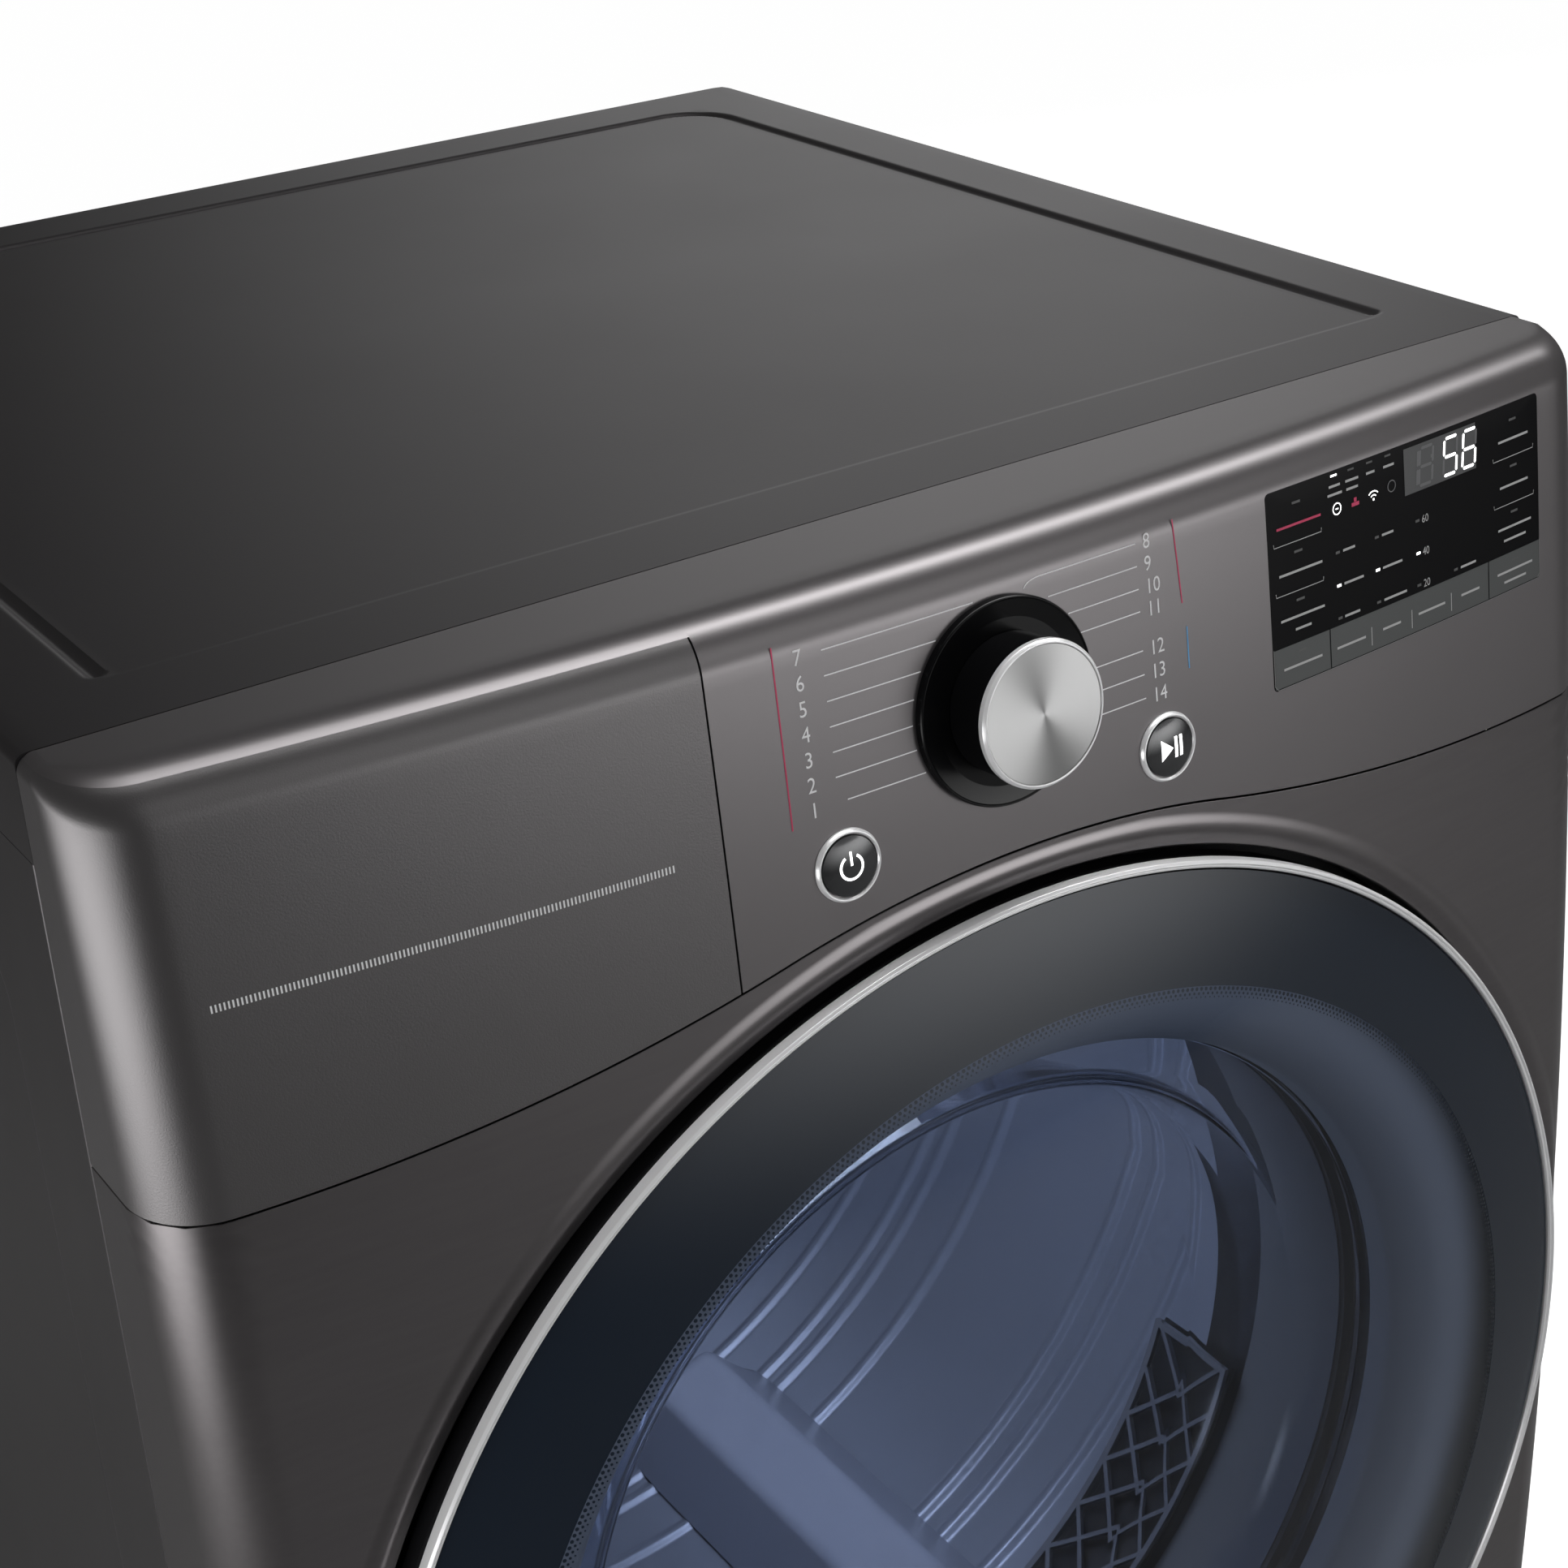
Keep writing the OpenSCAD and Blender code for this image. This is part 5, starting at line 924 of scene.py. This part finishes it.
# A bar on the arc from one (turn, height) place to another, in steps
def arcBar(a0, h0, a1, h1, wide, steps):
    g = lattice
    t = np.linspace(0, 1, steps + 1)
    turn, height = np.radians(a0 + (a1 - a0) * t), h0 + (h1 - h0) * t
    along = np.array([np.radians(a1 - a0) * g["radius"], h1 - h0])
    side = np.array([-along[1], along[0]]) / np.hypot(*along) * wide / 2
    corners = []
    for sign, lift in ((-1, 0), (1, 0), (1, g["thick"]), (-1, g["thick"])):
        a, h, r = turn + sign * side[0] / g["radius"], height + sign * side[1], g["radius"] + lift
        corners.append(np.stack([r * np.cos(a), r * np.sin(a), h], -1))
    local = np.stack(corners, 1)
    ends = [[3, 2, 1, 0], [steps * 4 + i for i in range(4)]]
    return carry(local, onDoor), gridFaces(steps + 1, 4, loop=True) + ends


g = lattice
near, far, pitch = g["near"], g["far"], (g["to"] - g["from"]) / g["cells"]
bars = [arcBar(g["from"], h, g["to"], h, g["rail"], 60) for h in (near - g["rail"] / 2, far + g["rail"] / 2)]
bars += [arcBar(a, near - 3, a, far + 3, g["rail"], 2) for a in (g["from"] + 0.5, g["to"] - 0.5)]
for a in g["from"] + pitch * np.arange(g["cells"] - 1):
    b = a + 2 * pitch
    bars += [arcBar(a, near - 3, b, far + 3, g["rib"], 5), arcBar(b, near - 3, a, far + 3, g["rib"], 5)]
makePiece("ductLattice", bars, "cabinet", "filter_grey", ["outlet_grille"], turn=False)


# A thin band whose section stands between two radii and two heights, its corners broken
def band(outside, thick, h0, h1):
    inner = outside - thick
    return softened([(outside, h0), (outside, h1), (inner, h1), (inner, h0)], [0.2] * 4, 3)


liner, tray = band(g["liner"], 0.8, g["linerNear"], g["linerFar"]), band(g["tray"], 1.2, near - 1, far + 0.6)
a0, a1 = math.radians(g["from"]), math.radians(g["to"])
makePiece("throatLiner", [turned(liner, onDoor, 220)], "cabinet", "fan_plastic")
makePiece("latticeTray", [turned(tray, onDoor, 90, angle0=a0, angle1=a1)], "cabinet", "moulding_black")
print("drum made")


# Flat shapes as one array of points and their faces, all turned the same way by their signed areas
def gathered(shapes):
    shapes = [np.asarray(shape, float) for shape in shapes]
    areas = [np.sum(x * np.roll(z, -1) - np.roll(x, -1) * z) for x, z in (shape.T for shape in shapes)]
    shapes = [shape[::-1] if area < 0 else shape for shape, area in zip(shapes, areas)]
    ends = np.cumsum([len(shape) for shape in shapes])
    return np.vstack(shapes), [list(range(end - len(shape), end)) for shape, end in zip(shapes, ends)]


# Flat shapes in (x, height), laid on the front and lifted off its skin
def printPiece(name, shapes, look, lift=0.12):
    flat, faces = gathered(shapes)
    s, z = runAt(flat[:, 0]), flat[:, 1]
    makePiece(name, [(skin(s, z) + skinNormal(s, z) * lift, faces)], "cabinet", None, turn=False, look=look)


# Flat shapes round a button's middle, lifted off its dome
def capPiece(name, shapes, body):
    flat, faces = gathered(shapes)
    lifted = np.column_stack([flat, capAt(np.hypot(*flat.T)) + 0.10])
    raised = carry(lifted, onFace(buttons[body], buttons["z"]))
    makePiece(name, [(raised, faces)], body, None, turn=False, look="ledLit")


# A line of even width as short quads: offsets each point of the path sideways by half the width
def stroke(path, width, step=7.0):
    path = np.asarray(path, float)
    lengths = np.hypot(*np.diff(path, axis=0).T)
    fine = np.vstack([a + np.linspace(0, 1, max(2, int(length / step) + 2))[:-1, None] * (b - a)
                      for a, b, length in zip(path[:-1], path[1:], lengths)] + [path[-1:]])
    along = np.gradient(fine, axis=0)
    along /= np.linalg.norm(along, axis=1)[:, None]
    side = np.stack([-along[:, 1], along[:, 0]], -1) * width / 2
    a, b = fine + side, fine - side
    return [np.array([b[i], b[i + 1], a[i + 1], a[i]]) for i in range(len(fine) - 1)]


# Upright rectangle about its middle
def bar(x, z, wide, high):
    return np.array([(x, z)]) + np.array([(-1, -1), (1, -1), (1, 1), (-1, 1)]) * [wide / 2, high / 2]


# Outline of a small round mark, or of part of one
def roundMark(x, z, r, start=0.0, stop=360.0):
    a = np.radians(np.linspace(start, stop, 19))
    return stroke(np.stack([x + r * np.cos(a), z + r * np.sin(a)], -1), 0.45)


# A word of digits as filled shapes, made from the built-in typeface and taken apart into faces
def digits(word, x, z, size):
    curve = bpy.data.curves.new("digits", "FONT")
    curve.body, curve.size, curve.resolution_u = word, size, 3
    holder = bpy.data.objects.new("digits", curve)
    mesh = bpy.data.meshes.new_from_object(holder)
    co = readAll(mesh.vertices, "co", 3)[:, :2] * [0.9, 1.0] + [x, z - size * 0.35]
    shapes = [co[list(face.vertices)] for face in mesh.polygons]
    bpy.data.objects.remove(holder)
    bpy.data.meshes.remove(mesh)
    bpy.data.curves.remove(curve)
    return shapes


# Places of a digit's seven segments, from the lower left, and the ones that each digit lights
segments = {"a": ((0, 1), (1, 1)), "b": ((1, 1), (1, 0.5)), "c": ((1, 0.5), (1, 0)), "d": ((0, 0), (1, 0)),
            "e": ((0, 0.5), (0, 0)), "f": ((0, 1), (0, 0.5)), "g": ((0, 0.5), (1, 0.5))}
litSegments = {"1": "bc", "5": "afgcd", "6": "afgedc", "8": "abcdefg"}


# Seven-segment digit: slanted bars with pointed ends, returned as lit and unlit shapes
def sevenSegment(digit, x, z, wide, high, thick=1.25):
    lit, dim = [], []
    for key, (p, q) in segments.items():
        p, q = np.array(p) * [wide, high], np.array(q) * [wide, high]
        along = (q - p) / np.linalg.norm(q - p)
        side = np.array([-along[1], along[0]]) * thick / 2
        p, q = p + along * 0.55, q - along * 0.55
        tip = along * thick * 0.4
        shape = np.array([p, p + tip - side, q - tip - side, q, q - tip + side, p + tip + side]) + [x, z]
        shape[:, 0] += (shape[:, 1] - z) * 0.10
        (lit if key in litSegments[digit] else dim).append(shape)
    return lit, dim


top = case["top"]
# Display: plate, strip of keys at its foot, and places of the marks, with heights from the top down
panel = {"x": 220.0, "wide": 168.0, "z": 934.0, "high": 81.0, "strip": 911.0, "corner": 2.2,
         "keys": (152.6, 286.4), "rows": (-49.0, -62.7, -76.3), "levels": (175.0, 198.2, 223.3),
         "splits": (193.2, 218.1, 243.4), "edges": (168.7, 268.5), "icons": -17.4, "digits": -34.9,
         "digitSize": (8.2, 15.2)}
x0, x1 = panel["x"] - panel["wide"] / 2, panel["x"] + panel["wide"] / 2
z0, z1 = panel["z"] - panel["high"] / 2, panel["z"] + panel["high"] / 2


# Display: a rounded plate following the skin, its rim rolled down to the console; long runs take 24 points
def displayPlate():
    ring = softened([(x0, z0), (x1, z0), (x1, z1), (x0, z1)], [panel["corner"]] * 4, 7)
    outline = np.vstack([np.linspace(a, b, 24 if abs(a[0] - b[0]) > 100 else 2, endpoint=False)
                         for a, b in zip(ring, np.roll(ring, -1, 0))])
    centre = np.array([panel["x"], panel["z"]])
    t = np.array([1.0, 1.0, 0.998, 0.99, 0.75, 0.5, 0.25, 0.0])[:, None, None]
    lift = np.array([-1.0, 0.02, 0.16, 0.2, 0.2, 0.2, 0.2, 0.2])[:, None]
    flat = centre + (outline - centre) * t
    s, z = runAt(flat[..., 0]), flat[..., 1]
    return skin(s, z) + skinNormal(s, z) * lift[..., None], gridFaces(len(t), len(outline), loop=True)


makePiece("displayPlate", [displayPlate()], "cabinet", "screen_black", ["display_panel"], inside=insideCase)
stripMid, stripHigh = (z0 + panel["strip"]) / 2 + 0.3, panel["strip"] - z0 - 1.2
strip = [np.clip(bar(x, stripMid, panel["wide"] / 24 + 0.01, stripHigh), [x0 + 0.7, 0], [x1 - 0.7, top])
         for x in np.linspace(x0, x1, 25)[:-1] + panel["wide"] / 48]
printPiece("displayStrip", strip, "screenGrey", 0.3)
leftRim = [(x0 + 0.4, panel["strip"]), (x0 + 0.4, z0 + 2.4), (x0 + 2.2, z0 + 0.4)]
rightRim = [(x1 - 2.2, z0 + 0.4), (x1 - 0.4, z0 + 2.4), (x1 - 0.4, panel["strip"])]
printPiece("displayRim", stroke(leftRim + rightRim, 0.3), "screenEdge", 0.36)

# Marks of the display, at heights under the top: dim and lit levels, thin lines, dark splits between the keys
leds, litLeds, thin, dark = [], [], [], []
for x in panel["keys"]:
    leds += [bar(x, top + z, 4.6, 1.0) for z in (-22.4, -42.1, -61.8)] + [bar(x, z0 + 13.6, 4.2, 0.7)]
    for z in (top - 37.9, top - 58.0):
        thin += stroke([(x - 13.6, z + 1.6), (x - 13.4, z), (x + 13.4, z), (x + 13.6, z + 1.6)], 0.32)
for z, word, kind in zip(panel["rows"], ("60", "40", "20"), (leds, litLeds, leds)):
    kind += [bar(x, top + z, 2.4, 1.1) for x in panel["levels"]]
    thin += digits(word, 226.0, top + z, 4.7)
leds += [bar(246.8, top + panel["rows"][2], 2.4, 1.1)]
leds += [bar(x, top + panel["icons"], 3.6, 0.8) for x in (184.5, 195.5, 206.5)]
litLeds += [bar(174.5, top + panel["icons"], 3.6, 0.8)]
for x in panel["splits"]:
    thin += stroke([(x, z0 + 3.2), (x, z0 + 11.0)], 0.4)
for x in panel["edges"]:
    dark += stroke([(x, z0 + 0.8), (x, panel["strip"])], 0.45)
lit, dim = [], []
for digit, x, on in (("1", 215.6, False), ("8", 225.0, False), ("5", 240.4, True), ("6", 252.6, True)):
    a, b = sevenSegment(digit, x, top + panel["digits"], *panel["digitSize"])
    (lit if on else dim).extend(a)
    dim.extend(b if digit != "1" else [])
dim += [bar(233.6, top - z, 1.4, 1.4) for z in (24.4, 30.4)]
# Words are plain bars: middle, height and width of each
words = [(153.6, -50.0, 24.5), (153.6, -68.4, 25.0), (153.6, -73.6, 9.0), (286.6, -30.4, 20.0),
         (286.6, -50.0, 19.0), (286.6, -68.0, 22.5), (286.6, -73.3, 15.0), (181.6, -49.0, 7.0),
         (183.8, -62.7, 11.5), (182.2, -76.3, 9.0), (204.8, -49.0, 7.0), (207.2, -62.7, 12.0),
         (208.4, -76.3, 14.0), (255.0, -76.3, 10.0), (174.7, -21.6, 6.5), (174.7, -25.0, 8.4),
         (184.9, -21.6, 7.6), (184.9, -25.0, 6.8), (195.9, -21.6, 5.0), (206.9, -21.6, 6.4)]
thin += [bar(x, top + z, wide, 1.0) for x, z, wide in words]
keyWords = [(152.6, 8.0, 22.0), (181.0, 8.0, 17.0), (205.6, 8.0, 11.0), (230.8, 8.0, 17.0),
            (256.0, 8.0, 12.0), (286.4, 9.4, 24.0), (286.4, 5.0, 15.0)]
thin += [bar(x, z0 + z, wide, 1.0) for x, z, wide in keyWords]
litLeds += roundMark(175.6, top - 31.2, 2.3) + [bar(175.6, top - 31.2, 1.6, 0.5)]
litLeds += [bar(197.2, top - 33.0, 0.9, 0.9)]
for r in (2.2, 3.8):
    litLeds += roundMark(197.2, top - 33.4, r, 45, 135)
dim += roundMark(208.3, top - 30.4, 2.3)
redMarks = [bar(153.6, top - 31.0, 25.0, 1.0)]
redMarks += [bar(186.4, top - 32.0, 4.4, 1.5), bar(186.4, top - 30.2, 1.5, 1.7)]
window = [bar(x, top - 27.2, 2.26, 19.2) for x in np.linspace(217.4, 260.6, 21)]
printPiece("displayRed", redMarks, "printRed", 0.44)
printPiece("displayWindow", window, "windowGrey", 0.36)
printPiece("displayLeds", leds, "ledDim", 0.42)
printPiece("displayFaint", dim, "ledFaint", 0.42)
printPiece("displayLit", litLeds + lit, "ledLit", 0.45)
printPiece("displayText", thin, "screenText", 0.44)
printPiece("displaySplits", dark, "screen_black", 0.40)

# Dial print: a leader from the bezel to each setting, with plain numbers in place of names
dial = {"clear": 41.2, "wide": 0.5, "starts": {-1: -21.0, 1: 13.5}, "bend": (1.5, 9.0),
        "ends": {-1: 76.0, 1: 68.0}, "numbers": {-1: -88.0, 1: 71.5}, "digit": 8.4,
        "left": (-19.0, -28.5, -38.0, -47.5, -57.0, -66.5, -76.0),
        "right": (-17.0, -25.8, -34.7, -43.5, -59.0, -68.5, -78.0)}


# A leader runs straight out from the bezel's edge; one that passes above or below it bends in to meet it
def leader(side, z, far):
    g = dial
    off, end = top + z - knobSpec["z"], (side * far, top + z)
    if abs(off) < g["clear"] - 0.3:
        return stroke([(side * math.sqrt(g["clear"] ** 2 - off ** 2), top + z), end], g["wide"])
    start = g["starts"][side]
    meet = math.copysign(math.sqrt((g["clear"] + 0.1) ** 2 - start ** 2), off)
    t = np.linspace(0, 1, 9)[:, None]
    bends = [(start + side * run, top + z) for run in g["bend"]]
    p0, p1, p2 = np.array([(start, knobSpec["z"] + meet)] + bends)
    arc = (1 - t) ** 2 * p0 + 2 * t * (1 - t) * p1 + t ** 2 * p2
    return stroke(np.vstack([arc, [end]]), g["wide"], 4)


leaders, numbers = [], []
for side, heights in ((-1, dial["left"][::-1]), (1, dial["right"])):
    for i, z in enumerate(heights):
        leaders += leader(side, z, 72.0 if side < 0 and i == 0 else dial["ends"][side])
        numbers += digits(str(i + (1 if side < 0 else 8)), dial["numbers"][side], top + z, dial["digit"])
tick = {"from": -310.8, "to": -144.5, "count": 115, "z": -80.5, "high": 2.7, "wide": 0.62}
tickX = np.linspace(tick["from"], tick["to"], tick["count"])
redLines = [((-96.0, top - 13.0), (-96.0, top - 81.0)), ((87.0, top - 12.4), (89.4, top - 46.0))]
printPiece("dialLeaders", leaders, "printWhite")
printPiece("dialNumbers", numbers, "printWhite")
printPiece("coverRuler", [bar(x, top + tick["z"], tick["wide"], tick["high"]) for x in tickX], "printWhite")
printPiece("dialRed", stroke(redLines[0], 0.6) + stroke(redLines[1], 0.6), "printRed")
printPiece("dialBlue", stroke([(91.0, top - 55.7), (91.0, top - 72.6)], 0.6), "printBlue")
print("print laid")


# Symbols on the caps: an open ring with a stroke, and an arrow head in slices with two strokes
arcTurn = np.radians(np.linspace(122, 418, 34))
spokes = np.stack([np.cos(arcTurn), np.sin(arcTurn)], -1)
openRing = [np.array([4.2 * a, 5.2 * a, 5.2 * b, 4.2 * b]) for a, b in zip(spokes[:-1], spokes[1:])]
capPiece("powerSymbol", openRing + stroke([(0, 6.0), (0, 0.6)], 1.0, 1.0), "power_button")
sliceX = np.linspace(-5.2, 0.6, 11)
sliceZ = np.linspace(4.4, 0, 11)
slope = np.stack([sliceX, -sliceZ], -1)
slices = [np.array([slope[i], slope[i + 1], (sliceX[i + 1], 0), (sliceX[i], 0)]) for i in range(10)]
slices += [shape[::-1] * [1, -1] for shape in slices]
twoStrokes = stroke([(2.2, 4.3), (2.2, -4.3)], 1.5, 1.0) + stroke([(4.9, 4.3), (4.9, -4.3)], 1.5, 1.0)
capPiece("startSymbol", slices + twoStrokes, "start_button")

# A square sheet on the ground plane that reaches half to each side
def flatSheet(name, half, material):
    mesh = bpy.data.meshes.new(name)
    corners = [(-half, -half, 0), (half, -half, 0), (half, half, 0), (-half, half, 0)]
    mesh.from_pydata(corners, [], [(0, 1, 2, 3)])
    mesh.materials.append(material)
    flat = bpy.data.objects.new(name, mesh)
    bpy.context.scene.collection.objects.link(flat)
    return flat


floorFinish = finish("floorWhite", {"colour": (0.30, 0.30, 0.30), "rough": 0.8, "grain": 60, "patches": 0.8,
                                    "spread": 0.01, "bump": 0.02})
floor = flatSheet("floor", 30, floorFinish)


# Bright to the camera, dim to everything else
def seenBright(tree, plain, output, strength):
    glow, path, both, mix = newNodes(tree, "Emission", "LightPath", "AddShader", "MixShader")
    glow.inputs["Strength"].default_value = strength
    tree.links.new(plain, both.inputs[0])
    tree.links.new(glow.outputs[0], both.inputs[1])
    tree.links.new(path.outputs["Is Camera Ray"], mix.inputs[0])
    tree.links.new(plain, mix.inputs[1])
    tree.links.new(both.outputs[0], mix.inputs[2])
    tree.links.new(mix.outputs[0], output)


tree = floorFinish.node_tree
surface = tree.nodes["Material Output"].inputs["Surface"]
seenBright(tree, tree.nodes["Principled BSDF"].outputs[0], surface, 0.97)
world = bpy.data.worlds.new("studio")
bpy.context.scene.world = world
world.use_nodes = True
tree = world.node_tree
tree.nodes.clear()
soft, out = newNodes(tree, "Background", "OutputWorld")
soft.inputs["Color"].default_value, soft.inputs["Strength"].default_value = (1, 0.985, 0.98, 1), 0.07
seenBright(tree, soft.outputs[0], out.inputs["Surface"], 1.0)
bpy.context.scene.view_settings.view_transform = "Standard"


# A soft panel of light aimed at a target: its glow fades to nothing at the edges, unseen by the camera
def softPanel(name, spec):
    material, tree = newMaterial(name)
    tree.nodes.clear()
    glow, out, where, split, facing = newNodes(tree, "Emission", "OutputMaterial", "TexCoord", "SeparateXYZ",
                                               "NewGeometry")
    tree.links.new(where.outputs["Object"], split.inputs[0])
    strength = arithmetic(tree, "SUBTRACT", 1.0, facing.outputs["Backfacing"])
    strength = arithmetic(tree, "MULTIPLY", strength, spec["level"])
    for axis in "XY":
        square = arithmetic(tree, "MULTIPLY", split.outputs[axis], split.outputs[axis])
        fade = arithmetic(tree, "MAXIMUM", arithmetic(tree, "SUBTRACT", 1.0, square), 0.0)
        strength = arithmetic(tree, "MULTIPLY", strength, arithmetic(tree, "POWER", fade, 2.5))
    tree.links.new(strength, glow.inputs["Strength"])
    tree.links.new(glow.outputs[0], out.inputs["Surface"])
    light = flatSheet(name, 1, material)
    aim = Vector(spec["aim"]) - Vector(spec["at"])
    light.matrix_world = (Matrix.Translation(spec["at"]) @ aim.to_track_quat("Z", "Y").to_matrix().to_4x4()
                          @ Matrix.Diagonal((spec["wide"] / 2, spec["high"] / 2, 1, 1)))
    light.visible_camera = False


# Places and sizes of the lights in metres
softPanels = {
    "brow": {"at": (1.0, -0.30, 2.5), "aim": (1.0, -0.38, 0.98), "wide": 4.6, "high": 0.75, "level": 12.5},
    "back": {"at": (2.3, 2.5, 1.9), "aim": (1.6, 0, 1.2), "wide": 4.4, "high": 3.0, "level": 0.95},
    "front": {"at": (1.7, -2.7, 0.95), "aim": (1.2, -0.35, 0.85), "wide": 5.0, "high": 1.85, "level": 5.6},
    "frontHigh": {"at": (1.0, -2.2, 2.1), "aim": (0.4, -0.35, 0.95), "wide": 5.0, "high": 2.4, "level": 1.2},
    "leftLow": {"at": (-1.5, -0.35, 0.48), "aim": (-0.33, -0.33, 0.75), "wide": 3.2, "high": 1.0, "level": 6.5},
}
for name, spec in softPanels.items():
    softPanel(name, spec)

# Two lamps in the drum: one whose gleam shows, one that only fills
for lampName, energy, glossy in (("drumShine", 1.2, True), ("drumFill", 2.5, False)):
    drumLamp = bpy.data.lights.new(lampName, "AREA")
    drumLamp.shape, drumLamp.size, drumLamp.size_y = "RECTANGLE", 0.24, 0.22
    drumLamp.energy, drumLamp.color = energy, (0.84, 0.89, 1.0)
    drumLight = bpy.data.objects.new(lampName, drumLamp)
    drumLight.location = (0.0, -0.02, 0.80)
    drumLight.rotation_euler = (math.radians(-10), 0, 0)
    drumLight.visible_camera, drumLight.visible_glossy = False, glossy
    bpy.context.scene.collection.objects.link(drumLight)

cameraSpec = {"sensor": 36.0, "lens": 63.05, "at": (-0.56785, -1.0416, 1.3606),
              "right": (0.824216, -0.5644989, -0.0448209), "up": (0.2871905, 0.3484794, 0.8922352),
              "back": (-0.4880467, -0.7482667, 0.449341)}
camera = bpy.data.cameras.new("camera")
camera.sensor_width, camera.lens, camera.clip_start = cameraSpec["sensor"], cameraSpec["lens"], 0.01
viewer = bpy.data.objects.new("camera", camera)
cameraTurn = Matrix([cameraSpec[axis] for axis in ("right", "up", "back")]).transposed()
viewer.matrix_world = Matrix.Translation(cameraSpec["at"]) @ cameraTurn.to_4x4()
bpy.context.scene.collection.objects.link(viewer)
bpy.context.scene.camera = viewer

print("scene finished")
